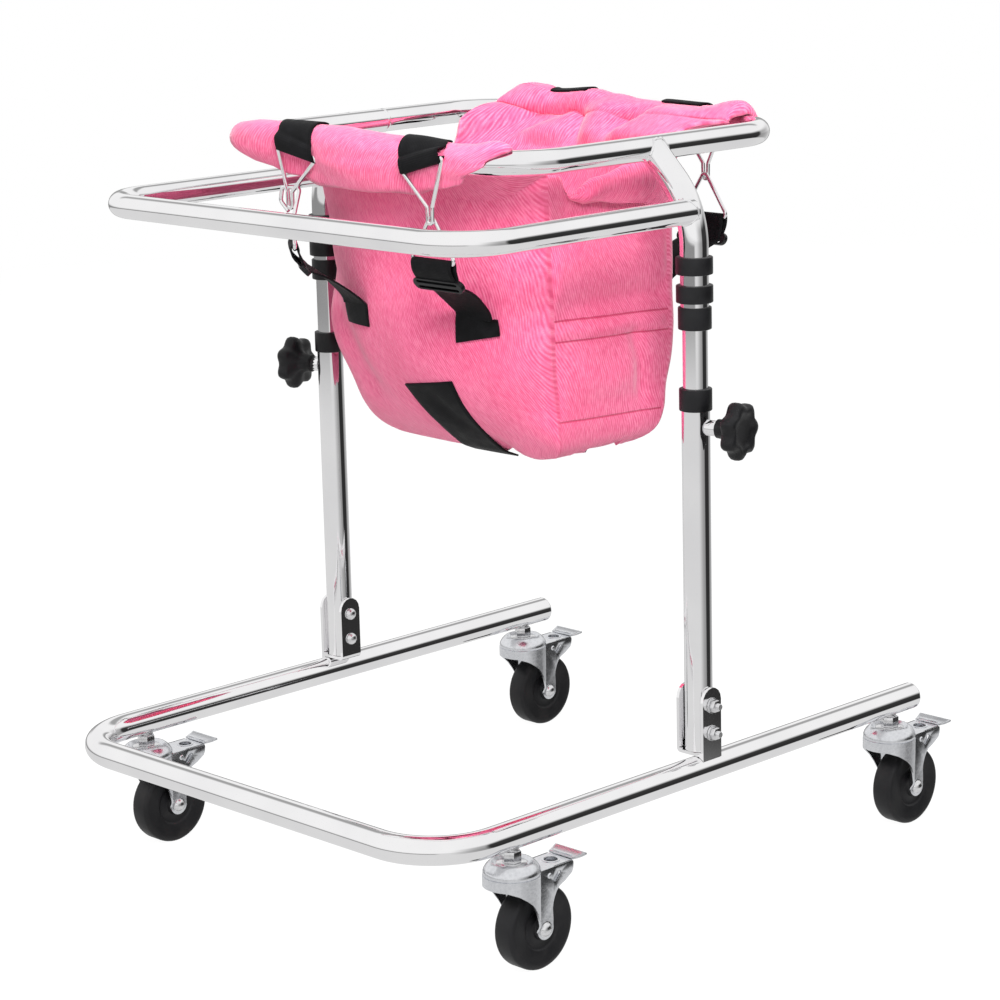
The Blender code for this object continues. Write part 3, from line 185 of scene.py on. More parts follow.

# %% [markdown]
# The casters are pressed steel with bright zinc on them. Zinc plate is greyer and duller than
# chrome, with a faint crystal pattern, drawn as cells in its colour and bump, and fine scuffs, so
# its roughness is higher and varies with a cloudy pattern. Bolts and stems are the same metal with more
# polish.

# %% Zinc plate and bright steel


def plated(name, dull, shine, low, high):
    graph, place = new_material(name, metallic=1.0)
    cells = graph.node("ShaderNodeTexVoronoi", {}, {"Vector": place, "Scale": 330.0})
    cloud = graph.noise(place, 60.0, 5.0, 0.6)
    stretched = graph.node("ShaderNodeMapping", {}, {"Vector": place, "Scale": (1.0, 1.0, 9.0)})
    scuffs = graph.noise(stretched, 240.0, 3.0)
    blend = cells * 0.35 + cloud * 0.75
    return feed(
        graph,
        base_color=graph.mix(blend.ramp(0.25, 0.8), dull, shine),
        roughness=cloud.ramp(0.3, 0.7, low, high) + scuffs * 0.05,
        normal=graph.bump(scuffs * 0.5 + cells, 0.12, 0.0002),
    )


ZINC = plated("zinc_plate", (0.68, 0.69, 0.72, 1), (0.8, 0.81, 0.835, 1), 0.17, 0.25)
BRIGHT_STEEL = plated("bright_steel", (0.66, 0.66, 0.67, 1), (0.85, 0.85, 0.86, 1), 0.12, 0.22)
print("plated: zinc and steel,", len(ZINC.node_tree.nodes), "nodes each")

# %% [markdown]
# The wheels are black rubber, matt and slightly dusty on the tread. The bushes, rings, knobs
# and sliders are moulded plastic: darker, smoother, with the fine grain of a spark-eroded mould.

# %% Rubber and plastic
BLACKS = grey(0.0045, 0.0005), grey(0.009, 0.001)
graph, place = new_material("black_rubber", specular_ior_level=0.3)
dust = graph.noise(place, 45.0, 6.0, 0.65)
speck = graph.noise(place, 900.0, 2.0)
RUBBER = feed(
    graph,
    base_color=graph.mix(dust.ramp(0.45, 0.8), (0.007, 0.007, 0.008, 1), (0.017, 0.016, 0.016, 1)),
    roughness=dust.ramp(0.3, 0.8, 0.4, 0.58),
    normal=graph.bump(speck, 0.1, 0.0002),
)


def moulded(name, grain, low, high):
    graph, place = new_material(name, specular_ior_level=0.25)
    cloud = graph.noise(place, 35.0, 4.0)
    pits = graph.noise(place, 1500.0, 2.0, 0.6)
    return feed(
        graph,
        base_color=graph.mix(cloud.ramp(0.3, 0.7), *BLACKS),
        roughness=cloud.ramp(0.3, 0.7, low, high),
        normal=graph.bump(pits, grain, 0.0002),
    )


PLASTIC = moulded("black_plastic", 0.22, 0.34, 0.44)
GLOSSY_PLASTIC = moulded("glossy_plastic", 0.05, 0.14, 0.22)
GLOSSY_PLASTIC["slot"] = PLASTIC["slot"]
print("moulded: rubber and two plastics,", len(PLASTIC.node_tree.nodes), "nodes in a plastic")

# %% [markdown]
# The sling is a soft ribbed cloth. Its ribs run up the panels and over the rolls, broken into
# short dashes that stray from side to side, and the weave was cut on the bias, so they lean. The
# pattern reads the pieces' UV map, which is in metres along the cloth, so the ribs follow every
# fold. Light and shade on the ribs are painted into the colour: a painted highlight makes the
# raised ribs paler, and painted shade makes the valleys a deeper, redder pink. The seams are thin
# dark lines drawn on grooves that the geometry has as well.

# %% Pink cloth
RIB_PITCH = 0.0024
# The front seam and the gusset's rear edge, by U.
SEAM_U, GUSSET_END = 0.17, 0.32
# The gussets' cross seams: their heights at the front seam, and how much they fall per metre.
SEAM_HEIGHTS, SEAM_FALL = (0.133, 0.1145, 0.0403), 0.045


def ribbed_cloth(name):
    graph, _ = new_material(
        name, roughness=0.8, sheen_weight=0.42, sheen_roughness=0.42, specular_ior_level=0.25
    )
    graph.shader.inputs["Sheen Tint"].default_value = (1.0, 0.84, 0.88, 1)
    chart = graph.node("ShaderNodeUVMap", {"uv_map": "UVMap"})
    u, v, _ = graph.parts(chart)
    drift = graph.noise(chart, 7.0, 1.0)
    stray = graph.noise(chart, 40.0, 1.0)
    lean = u * 0.92 + v * 0.38 + drift * 0.058 + stray * 0.0036
    rib = (lean * (math.tau / RIB_PITCH)).sine() * 0.5 + 0.5
    along = graph.node("ShaderNodeCombineXYZ", {}, {0: lean * 500.0, 1: (v - u * 0.4) * 95.0})
    strokes = graph.noise(along, 1.0, 2.0, 0.6)
    fuzz = graph.noise(chart, 1500.0, 2.0)
    raised = rib * 0.3 + strokes
    # Painted shade: this mask colours the valleys between the ribs a deeper, redder pink.
    painted_valley_shade = raised.ramp(0.66, 0.44)
    soft = graph.noise(chart, 12.0, 3.0)
    pale = graph.mix(soft.ramp(0.3, 0.7), (0.79, 0.118, 0.255, 1), (0.85, 0.165, 0.318, 1))
    # Painted highlight: the raised ribs are coloured paler than the cloth around them.
    ridge = graph.mix(raised.ramp(0.62, 0.95) * fuzz.ramp(0.25, 0.7), pale, (0.9, 0.29, 0.44, 1))
    colour = graph.mix(painted_valley_shade * 0.5, ridge, (0.6, 0.03, 0.125, 1))
    side = abs(u)
    line = side.band(SEAM_U, 0.0003, 0.0005) * 0.35
    gusset = side.ramp(SEAM_U - 0.0004, SEAM_U + 0.0004) * side.ramp(GUSSET_END, GUSSET_END - 0.002)
    low = v.ramp(0.24, 0.235)
    for seam_height in SEAM_HEIGHTS:
        across = v + (side - SEAM_U) * SEAM_FALL
        line = line.work("MAXIMUM", line, gusset * across.band(seam_height, 0.0004, 0.0009))
    colour = graph.mix(line * low * 0.72, colour, (0.5, 0.016, 0.075, 1))
    height = raised * 0.8 + fuzz * 0.15 - line * low * 1.2
    return feed(graph, base_color=colour, normal=graph.bump(height, 0.55, 0.001))


CLOTH = ribbed_cloth("pink_cloth")
print("cloth ribs every", RIB_PITCH / MM, "mm")

# %% [markdown]
# Webbing is woven flat, with fine ribs across its width and a firmer edge on both sides. Its
# material draws those ribs and the threads along the strap, but not the firmer edges. The UV map
# is again in metres, U across the strap and V along it.

# %% Webbing
graph, _ = new_material("black_webbing", specular_ior_level=0.1)
chart = graph.node("ShaderNodeUVMap", {"uv_map": "UVMap"})
u, v, _ = graph.parts(chart)
weft = (v * (math.tau / 0.0013)).sine()
warp = (u * (math.tau / 0.0016)).sine()
worn = graph.noise(chart, 90.0, 4.0)
WEBBING = feed(
    graph,
    base_color=graph.mix(worn.ramp(0.4, 0.75), *BLACKS),
    roughness=worn.ramp(0.3, 0.7, 0.52, 0.66),
    normal=graph.bump(weft * 0.6 + warp * 0.4, 0.3, 0.0004),
)
print("materials:", [m.name for m in (CHROME, ZINC, BRIGHT_STEEL, RUBBER, PLASTIC, CLOTH, WEBBING)])

# %% [markdown]
# Light. The photograph is a bright studio shot on pure white. For camera rays the world and the
# floor are plain white. Mirror rays don't see the floor. They see a white room, paler below than
# above, with the things that draw the dark lines on chrome: a dark wall on the right, a grey band
# high at the back, a darker one behind the walker and a thin one low on the left. Diffuse rays see
# an even dim room, and soft lamps beside the camera and overhead give the cloth its shape.

# %% World
VIEW_RIGHT = (0.698, 0.716)  # the picture's rightward direction, seen from above
world = bpy.data.worlds.new("studio")
bpy.context.scene.world = world
world.use_nodes = True
graph = Graph(world.node_tree)
x, y, z = graph.parts(graph.node("ShaderNodeTexCoord", output=0))
seen_by = graph.node("ShaderNodeLightPath").socket.node.outputs
camera_ray, glossy_ray = Value(graph, seen_by["Is Camera Ray"]), Value(graph, seen_by["Is Glossy Ray"])
transmission_ray = Value(graph, seen_by["Is Transmission Ray"])
rightward = x * VIEW_RIGHT[0] + y * VIEW_RIGHT[1]
backward = y * VIEW_RIGHT[0] - x * VIEW_RIGHT[1]
below_eye = z.ramp(0.0, -0.09)
sector = rightward.ramp(0.2, 0.9) * 0.56 + rightward.ramp(0.86, 0.93) * 0.4
dark_right = sector * z.ramp(0.34, 0.1) * z.ramp(-0.36, -0.29)
grey_back = backward.ramp(0.56, 0.7) * z.band(0.62, 0.06, 0.1) * 0.6
behind = backward.ramp(0.9, 0.97) * z.band(-0.1, 0.2, 0.1) * 0.62
horizon = rightward.ramp(0.1, -0.1) * z.band(-0.135, 0.02, 0.04) * 0.62
mirror = 0.94 - below_eye * 0.21
for shade in (dark_right, grey_back, behind, horizon):
    mirror = mirror * (1.0 - shade)
plain = camera_ray.work("MAXIMUM", camera_ray, transmission_ray)
tone = plain + glossy_ray * (1.0 - plain) * mirror + (1.0 - plain) * (1.0 - glossy_ray) * 0.21
graph.tree.links.new(tone.socket, world.node_tree.nodes["Background"].inputs["Color"])
print("world nodes:", len(world.node_tree.nodes))

# %% Floor


def link(obj):
    bpy.context.scene.collection.objects.link(obj)
    return obj


bm = bmesh.new()
under = Matrix.Translation((0, 0, -0.0004))
bmesh.ops.create_circle(bm, cap_ends=True, segments=96, radius=4.0, matrix=under)
mesh = bpy.data.meshes.new("floor")
bm.to_mesh(mesh)
bm.free()
floor = link(bpy.data.objects.new("floor", mesh))
paper = bpy.data.materials.new("white_floor")
paper.use_nodes = True
graph = Graph(paper.node_tree)
seen_by = graph.node("ShaderNodeLightPath").socket.node.outputs
direct = Value(graph, seen_by["Is Camera Ray"]) + Value(graph, seen_by["Is Transmission Ray"])
glow = graph.node("ShaderNodeEmission", {}, {"Color": grey(1.0), "Strength": 1.14})
matt = graph.node("ShaderNodeBsdfDiffuse", {}, {"Color": grey(0.62)})
share = direct.ramp(0.0, 1.0, 0.0, 0.85)
blended = graph.node("ShaderNodeMixShader", {}, {0: share, 1: matt, 2: glow})
graph.tree.links.new(blended.socket, paper.node_tree.nodes["Material Output"].inputs["Surface"])
mesh.materials.append(paper)
floor.visible_glossy = False
print("floor", [round(side, 2) for side in floor.dimensions], "m")

# %% Lamps


def area_lamp(name, place, size, power):
    data = bpy.data.lights.new(name, "AREA")
    data.shape = "DISK"
    data.size = size
    data.energy = power
    lamp = link(bpy.data.objects.new(name, data))
    lamp.visible_glossy = False
    lamp.location = place
    lamp.rotation_euler = (Vector((0, 0, 0.45)) - Vector(place)).to_track_quat("-Z", "Y").to_euler()


area_lamp("key", (1.65, -1.3, 1.85), 1.1, 84)
area_lamp("fill", (0.2, -2.4, 1.2), 1.4, 14)
area_lamp("top", (0.2, -0.1, 2.9), 1.0, 56)
bpy.context.scene.view_settings.view_transform = "Standard"

# %% [markdown]
# Modelling helpers. A bent tube is a circle pushed along its straight runs by extruding, and
# round its bends by spinning, which is just what a tube bender does. A turned piece is a
# half outline spun once round. A pressed sheet is an outline filled and extruded. Cloth is a
# grid of quads that a function lays in place.

# %% Modelling helpers


def verts_of(geometry):
    return [g for g in geometry if isinstance(g, bmesh.types.BMVert)]


def edges_of(geometry):
    return [g for g in geometry if isinstance(g, bmesh.types.BMEdge)]


def standing(direction, origin):
    """A matrix that stands local Z along a direction, at an origin."""
    turn = Vector((0, 0, 1)).rotation_difference(Vector(direction).normalized())
    return Matrix.Translation(origin) @ turn.to_matrix().to_4x4()


def tidy(bm):
    bmesh.ops.remove_doubles(bm, verts=bm.verts, dist=0.000002)
    bmesh.ops.recalc_face_normals(bm, faces=bm.faces)
    return bm


# %% Bent tubes
CLOSE_LOOP = 0.0004  # metres from an open end to the ring that keeps the run's shading even


def sweep(corners, radius, bend, sides, closed=False, steps=20, caps=False):
    """A tube's outside: a circle extruded along straight runs and spun round the bends."""
    corners = [Vector(corner) for corner in corners]
    count = len(corners)
    bm = bmesh.new()
    here = (corners[-1] + corners[0]) / 2 if closed else corners[0]
    heading = (corners[0 if closed else 1] - here).normalized()
    made = bmesh.ops.create_circle(bm, segments=sides, radius=radius, matrix=standing(heading, here))
    edges = list({edge for vert in made["verts"] for edge in vert.link_edges})
    first, origin = edges[:], here.copy()

    def push(step):
        """Extrudes the open rim by a step, and gives the new rim's points and edges."""
        ring = verts_of(bmesh.ops.extrude_edge_only(bm, edges=edges)["geom"])
        bmesh.ops.translate(bm, verts=ring, vec=step)
        chosen = set(ring)
        return ring, [e for e in bm.edges if e.verts[0] in chosen and e.verts[1] in chosen]

    if not closed:
        ring, edges = push(heading * CLOSE_LOOP)
        here = here + heading * CLOSE_LOOP
    for index, corner in enumerate(corners if closed else corners[1:-1]):
        after = corners[(index + 1) % count] if closed else corners[index + 2]
        leave = (after - corner).normalized()
        turn = heading.angle(leave)
        setback = bend * math.tan(turn / 2)
        ring, edges = push(corner - heading * setback - here)
        axis = heading.cross(leave).normalized()
        centre = corner - heading * setback + axis.cross(heading) * bend
        made = bmesh.ops.spin(
            bm, geom=ring + edges, cent=centre, axis=axis, angle=turn, steps=steps,
            dvec=(0, 0, 0), use_merge=False, use_normal_flip=False, use_duplicate=False,
        )
        edges = edges_of(made["geom_last"])
        here, heading = corner + leave * setback, leave
    if closed:
        push(origin - here)
    else:
        ring, edges = push(corners[-1] - heading * CLOSE_LOOP - here)
        ring, edges = push(heading * CLOSE_LOOP)
    if caps:
        bmesh.ops.edgeloop_fill(bm, edges=first)
        bmesh.ops.edgeloop_fill(bm, edges=edges)
    return tidy(bm)


def u_corners(half, z, open_y, bent_y):
    """The corners of a level U of tube, from its left end round to its right end."""
    return [(-half, open_y, z), (-half, bent_y, z), (half, bent_y, z), (half, open_y, z)]


# %% Turned and pressed pieces


def lathe(outline, steps, ring=False):
    """A turned piece. The outline is (radius, height) points; a ring's outline is closed."""
    bm = bmesh.new()
    verts = [bm.verts.new((radius * MM, 0, height * MM)) for radius, height in outline]
    edges = [bm.edges.new(pair) for pair in zip(verts, verts[1:])]
    if ring:
        edges.append(bm.edges.new((verts[-1], verts[0])))
    bmesh.ops.spin(
        bm, geom=verts + edges, cent=(0, 0, 0), axis=(0, 0, 1), angle=math.tau, steps=steps,
        dvec=(0, 0, 0), use_merge=True, use_normal_flip=False, use_duplicate=False,
    )
    return tidy(bm)


def pressing(outline, thickness, holes=()):
    """A flat sheet cut to an outline in the XY plane, centred on it, in millimetres."""
    bm = bmesh.new()
    edges = []
    for loop in (outline, *holes):
        verts = [bm.verts.new((x * MM, y * MM, -thickness * MM / 2)) for x, y in loop]
        edges += [bm.edges.new((verts[i - 1], verts[i])) for i in range(len(verts))]
    bmesh.ops.triangle_fill(bm, use_beauty=True, edges=edges)
    made = bmesh.ops.extrude_face_region(bm, geom=bm.faces[:])["geom"]
    bmesh.ops.translate(bm, verts=verts_of(made), vec=(0, 0, thickness * MM))
    return tidy(bm)


def mirrored(half):
    """The outline of a turned piece whose lower half mirrors its upper half."""
    return half + [(radius, -height) for radius, height in reversed(half)]


# %% Grids


def cloth_grid(columns, rows, place, chart=None, thick=None):
    """A grid of quads laid by place(u, v), both from 0 to 1, with a UV map from chart(u, v)."""
    bm = bmesh.new()
    bmesh.ops.create_grid(bm, x_segments=columns, y_segments=rows, size=0.5)
    layer = bm.loops.layers.uv.new("UVMap")
    if thick:
        depth = bm.verts.layers.float.new("thick")
        for vert in bm.verts:
            vert[depth] = thick(vert.co.x + 0.5, vert.co.y + 0.5)
    for face in bm.faces:
        for loop in face.loops:
            u, v = loop.vert.co.x + 0.5, loop.vert.co.y + 0.5
            loop[layer].uv = chart(u, v) if chart else (u, v)
    for vert in bm.verts:
        vert.co = place(vert.co.x + 0.5, vert.co.y + 0.5)
    return bm


def thickened(grid, thickness):
    """A grid made into a sheet of metal."""
    tidy(grid)
    bmesh.ops.solidify(grid, geom=grid.faces[:], thickness=thickness)
    return tidy(grid)


# %% Join, move, round and add


def joined(*parts):
    """Several bmeshes as one."""
    whole = bmesh.new()
    for part in parts:
        mesh = bpy.data.meshes.new("part")
        part.to_mesh(mesh)
        part.free()
        whole.from_mesh(mesh)
        bpy.data.meshes.remove(mesh)
    return whole


def moved(bm, matrix):
    bmesh.ops.transform(bm, matrix=matrix, verts=bm.verts)
    if matrix.determinant() < 0:
        bmesh.ops.reverse_faces(bm, faces=bm.faces)
    return bm


def add(
    name, bm, material, node=None, body="upper_frame", slot=None, wall=0, inwards=-1, rounding=0, smooth=40
):
    """Links a finished piece, gives it its finish and modifiers, and ties it to the frame."""
    mesh = bpy.data.meshes.new(name)
    bm.to_mesh(mesh)
    bm.free()
    piece = link(bpy.data.objects.new(name, mesh))
    mesh.materials.append(material)
    mesh.shade_smooth()
    mesh.set_sharp_from_angle(angle=math.radians(smooth))
    if wall:
        solidify = piece.modifiers.new("wall", "SOLIDIFY")
        solidify.thickness = wall * MM
        solidify.offset = inwards
    if rounding:
        bevel = piece.modifiers.new("edges", "BEVEL")
        bevel.width = rounding * MM
        bevel.segments = 2
        bevel.limit_method = "ANGLE"
        bevel.angle_limit = math.radians(35)
        bevel.harden_normals = True
    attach(piece, body)
    if node:
        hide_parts(node)
    slot or material["slot"]
    return piece


def eased(bm, offset, edges=None):
    """Rounds a piece's sharp edges, or the edges given."""
    edges = edges or [e for e in bm.edges if len(e.link_faces) == 2 and e.calc_face_angle(0) > 0.9]
    bmesh.ops.bevel(bm, geom=edges, offset=offset, segments=2, profile=0.5, affect="EDGES", material=-1)
    return bm


# %% Measures


def s_curve(share):
    """A share from 0 to 1 that starts and ends gently."""
    return share * share * (3 - 2 * share)


def between(value, points, smooth=True):
    """Interpolation in a table of (place, result) pairs, smooth or straight."""
    if value <= points[0][0]:
        return points[0][1]
    for (a, low), (b, high) in zip(points, points[1:]):
        if value <= b:
            share = (value - a) / (b - a)
            return low + (high - low) * (s_curve(share) if smooth else share)
    return points[-1][1]


def clamp(value):
    return max(0.0, min(1.0, value))


SIDES = (("right", 1), ("left", -1))
print("modelling helpers ready")

# %% [markdown]
# The base is one 25 mm tube bent to a U. Two bends of 65 mm join its straight runs. It stays a
# hollow tube here as well, because Solidify gives the skin its 1.5 mm wall.

# %% Base tube and end plugs
TUBE, THIN_TUBE = 0.0125, 0.011  # radii
RAIL_X, RAIL_Z = 0.247, 0.124
base = sweep(u_corners(RAIL_X, RAIL_Z, 0.2992, -0.327), TUBE, 0.065, sides=48, steps=28)
add("base_tube", base, CHROME, "base_frame", "base", wall=1.5)
for side, sign in SIDES:
    outline = [(0, 0.9), (5, 0.75), (9, 0.3), (11.3, -0.5), (12.3, -1.5), (12.5, -2.5)]
    outline += [(10.5, -2.5), (10.5, -14), (0, -14)]
    plug = moved(lathe(outline, 40), standing((0, 1, 0), (sign * RAIL_X, 0.3013, RAIL_Z)))
    add(f"end_plug_{side}", plug, CHROME, f"rail_end_plug_{side}", "base")

# %% [markdown]
# A U strap of 3 mm steel stands on each rail and clasps the upright. Its CAD shape is already
# right, so it only takes the tubes' chrome. The bolts through it are turned again here with rounded
# heads, washers, chamfered nuts and a threaded end, because they catch the light.

# %% Brackets and bolts
for side, _ in SIDES:
    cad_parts[f"bracket_{side}"].material_slots[0].material = CHROME


def hex_nut(across_flats, low, high):
    """A nut with both faces' corners turned off, standing on local Z."""
    corner, depth = across_flats / 2 / math.cos(math.pi / 6) * MM, (high - low) * MM
    bm = bmesh.new()
    bmesh.ops.create_cone(bm, cap_ends=True, segments=6, radius1=corner, radius2=corner, depth=depth)
    caps = [e for e in bm.edges if abs(e.verts[0].co.z - e.verts[1].co.z) < 1e-6]
    eased(bm, 0.06 * across_flats * MM, caps)
    return moved(bm, Matrix.Translation((0, 0, (low + high) / 2 * MM)))


def threaded(radius, low, high):
    """A threaded end as ridges 1 mm apart, in an outline for the lathe."""
    points, height = [], low
    while height < high - 1:
        points += [(radius - 0.35, height), (radius, height + 0.5)]
        height += 1
    return points + [(radius - 0.5, high), (0, high)]


BOLT_HEIGHTS = (157.6, 183.0)
EAR = 16.1  # from the upright's axis to the outside of the bracket's ear
UP_X, UP_Y = 0.24, 0.005  # the uprights' axes
for side, sign in SIDES:
    for label, height in zip(("lower", "upper"), BOLT_HEIGHTS):
        head = [(0, -4.0), (2.6, -3.8), (4.6, -2.9), (5.6, -1.4), (5.75, 0), (3, 0)]
        shank = [(3, 0), (6.9, 0), (7, 0.3), (7, 0.9), (6.8, 1.2), (3, 1.2), (3, 6.1)]
        outline = [(radius, along - EAR) for radius, along in head]
        outline += [(radius, along + EAR) for radius, along in shank] + threaded(3, EAR + 6.3, EAR + 9.7)
        bolt = joined(lathe(outline, 32), hex_nut(10, EAR + 1.2, EAR + 6.2))
        moved(bolt, standing((sign, 0, 0), (sign * UP_X, UP_Y, height * MM)))
        node = f"bracket_bolt_{side}_{label}"
        add(f"strap_bolt_{side}_{label}", bolt, BRIGHT_STEEL, node, "base", smooth=35)
print("bolts at", BOLT_HEIGHTS, "mm")

# %% [markdown]
# Each upright is a 25 mm tube with a 22 mm tube sliding inside it. A short boss on the lower
# tube takes the clamp knob's stud. The leg above it starts with the same 25 mm tube, turns in
# at 45 degrees and is cut to sit on the ring, where a thin weld bead closes the joint.

# %% Uprights, legs, ring and handlebar
RING_X, RING_Z = 0.1915, 0.6723
LEG_CUT = THIN_TUBE - 0.0006  # the legs' cut ends sink a little into the ring
BAR_Y = {-1: -0.161, 1: 0.18}  # the ring's front and rear bars
KNOB_Z, BAR_Z = 0.433, 0.6213  # the clamp knobs and the handlebar


def knob_stand(sign):
    """Stands local Z along a clamp's stud, which points out and 12 degrees round."""
    turn = math.radians(12)
    return standing((sign * math.cos(turn), sign * math.sin(turn), 0), (sign * UP_X, UP_Y, KNOB_Z))


def weld_bead(centre, direction, radius, met, far):
    """A bead round a tube's end, on the near (-1) or far (1) side of the tube that it meets."""
    stand = standing(direction, centre)
    thick, ripple = 0.0013, 0.00025

    def place(u, v):
        around, turn = u * math.tau, v * math.tau
        out = radius + thick * math.cos(turn)
        reach = far * math.sqrt(max(0.0, met**2 - (radius * math.cos(around)) ** 2))
        along = reach + thick * math.sin(turn) + ripple * math.sin(around * 23)
        return stand @ Vector((out * math.cos(around), out * math.sin(around), along))

    return tidy(cloth_grid(56, 8, place))


for side, sign in SIDES:
    x = sign * UP_X
    lower = sweep([(x, UP_Y, 0.1401), (x, UP_Y, 0.465)], TUBE, 0.01, sides=48)
    add(f"lower_upright_{side}", lower, CHROME, f"lower_tube_{side}", "base", wall=1.2)
    outline = [(4.3, 11.8), (7, 11.8), (7, 20.6), (6.4, 21.4), (4.3, 21.4)]
    boss = moved(lathe(outline, 32, ring=True), knob_stand(sign))
    add(f"clamp_boss_{side}", boss, CHROME, body="base")
    inner = sweep([(x, UP_Y, 0.29), (x, UP_Y, 0.5847)], THIN_TUBE, 0.01, sides=48)
    add(f"inner_upright_{side}", inner, CHROME, f"inner_tube_{side}", wall=1.2)

    corners = [(x, UP_Y, 0.521), (x, UP_Y, RING_Z - 0.0485), (sign * RING_X, UP_Y, RING_Z)]
    leg = sweep(corners, TUBE, 0.08, sides=48, steps=16)
    slope = Vector((-sign, 0, 1)).normalized()
    aside = Vector((sign, 0, 1)).normalized()
    end = Vector((sign * RING_X, UP_Y, RING_Z))
    for vert in leg.verts:
        if abs((vert.co - end).dot(slope)) < 1.5 * CLOSE_LOOP:
            offset = (vert.co - end).dot(aside)
            vert.co -= slope * math.sqrt(max(0.0, LEG_CUT**2 - offset * offset))
    add(f"leg_{side}", leg, CHROME, f"leg_tube_{side}", wall=1.2)
    add(f"leg_weld_{side}", weld_bead(end, slope, 0.0126, THIN_TUBE, -1), CHROME)

corners = u_corners(RING_X, RING_Z, BAR_Y[1], BAR_Y[-1])
ring = sweep(corners, THIN_TUBE, 0.055, sides=44, closed=True, steps=26)
add("ring_tube", ring, CHROME, "upper_ring", wall=1.5)
joint = lathe([(11.02, -1.6), (11.35, -1.0), (11.35, 1.0), (11.02, 1.6)], 44)
add("ring_joint", moved(joint, standing((0, 1, 0), (-RING_X, 0.04, RING_Z))), CHROME)

bar = sweep(u_corners(UP_X, BAR_Z, 0.002, -0.266), THIN_TUBE, 0.049, sides=44, steps=26)
add("handlebar_tube", bar, CHROME, "handlebar", wall=1.5)
for side, sign in SIDES:
    bead = weld_bead((sign * (UP_X - 0.0008), UP_Y, BAR_Z), (0, -1, 0), 0.0111, 0.0124, 1)
    add(f"handlebar_weld_{side}", bead, CHROME)

# %% [markdown]
# Black rings on the uprights: a bush in the top of each lower tube, a sleeve under each leg and
# two bands that mark the height. All are moulded rings with softened edges.

# %% Bushes, sleeves and bands


def moulded_ring(low, high, inner, outer, lip=None, lip_at_top=True):
    """The closed outline of a ring with rounded outer corners and, where it has one, a lip."""
    soft = 0.9
    outline = [
        (inner, low), (outer - soft, low), (outer - 0.25, low + 0.25), (outer, low + soft),
        (outer, high - soft), (outer - 0.25, high - 0.25), (outer - soft, high), (inner, high),
    ]
    if lip and lip_at_top:
        outline[-1:] = [(lip, high), (lip, high - 1.7), (inner, high - 1.7)]
    elif lip:
        outline[:1] = [(inner, low + 1.7), (lip, low + 1.7), (lip, low)]
    return outline


for side, sign in SIDES:
    for name, node, body, outline in (
        ("bush", f"lower_tube_bush_{side}", "base", moulded_ring(447.5, 467, 12.8, 14.5, 11.35, True)),
        ("sleeve", f"leg_sleeve_{side}", "upper_frame", moulded_ring(519, 538.5, 12.8, 14.7, 11.35, False)),
        ("band_lower", f"stop_ring_{side}_lower", "upper_frame", moulded_ring(542.3, 557.5, 12.7, 16.2)),
        ("band_upper", f"stop_ring_{side}_upper", "upper_frame", moulded_ring(566.8, 582, 12.7, 16.2)),
    ):
        made = moved(lathe(outline, 48, ring=True), Matrix.Translation((sign * UP_X, UP_Y, 0)))
        add(f"{name}_{side}", made, PLASTIC, node, body)
print("black rings:", len(SIDES) * 4)

# %% [markdown]
# The clamp knob is a moulded star with seven rounded lobes round a slightly hollow face. It is
# turned first, then each point is pushed out or in by a wave that goes round seven times.

# %% Clamp knobs
KNOB_OUTLINE = (
    # radius, height, share of the lobes
    (4, 11.4, 0), (4, 21.8, 0), (7.4, 21.8, 0), (8.4, 22.4, 0), (8.6, 27, 0.1), (9.2, 31.5, 0.2),
    (13, 34.2, 0.6), (18.5, 35.4, 0.9), (21.8, 36.6, 1), (23.2, 38.4, 1), (23.8, 41.5, 1), (23.6, 45.5, 1),
    (22.6, 47.9, 1), (20.6, 49.3, 0.95), (17.5, 49.7, 0.7), (14.6, 48.9, 0.3), (12.4, 47.6, 0.05),
    (9, 47.3, 0), (0, 47.3, 0),
)
LOBES = 7


def knob_mesh():
    bm = lathe([(radius, height) for radius, height, _ in KNOB_OUTLINE], 14 * LOBES)
    lobing = {round(height, 2): share for _, height, share in KNOB_OUTLINE}
    for vert in bm.verts:
        share = lobing.get(round(vert.co.z / MM, 2), 0)
        radius = math.hypot(vert.co.x, vert.co.y)
        if share and radius > 0:
            wave = math.cos(LOBES * math.atan2(vert.co.y, vert.co.x))
            vert.co.xy *= 1 + 0.0021 * share * (wave + 0.1) / radius
    return bm


for side, sign in SIDES:
    knob = moved(knob_mesh(), knob_stand(sign))
    add(f"star_knob_{side}", knob, PLASTIC, f"clamp_knob_{side}", f"knob_{side}", smooth=50)
print("knob lobes:", LOBES)

# %% [markdown]
# Casters. A stem carries a hexagon nut and a ball race. The fork is one pressing: a domed cap,
# a skirt that sweeps down to two cheeks, and a housing behind them for the brake. The skirt is
# a bent sheet, so it is a grid laid along the cap's outline, and the flat cheeks are cut out
# with their slots. Everything is made once about the stem's axis, then copied to the corners.

# %% Caster stem, axle and wheel
AXLE = standing((1, 0, 0), (0, 0.024, 0.0375))


def stem_mesh():
    top, pitch = 128.5, 1.1
    shank = [(0, 129.3), (4.2, 129.3), (5, top)]
    for turn in range(15):
        shank += [(4.6, top - (turn + 0.5) * pitch), (5, top - (turn + 1) * pitch)]
    race = [(5, 111.2), (6.9, 111.0), (6.9, 100.9), (12.6, 100.6), (13.2, 100.2), (13.3, 98.9)]
    race += [(11.4, 98.8), (11.4, 96.2), (14.7, 96.2), (14.9, 95.6), (14.9, 92.2), (14.6, 91.6), (0, 91.6)]
    return joined(lathe(shank + race, 40), hex_nut(15, 100.7, 111.1))


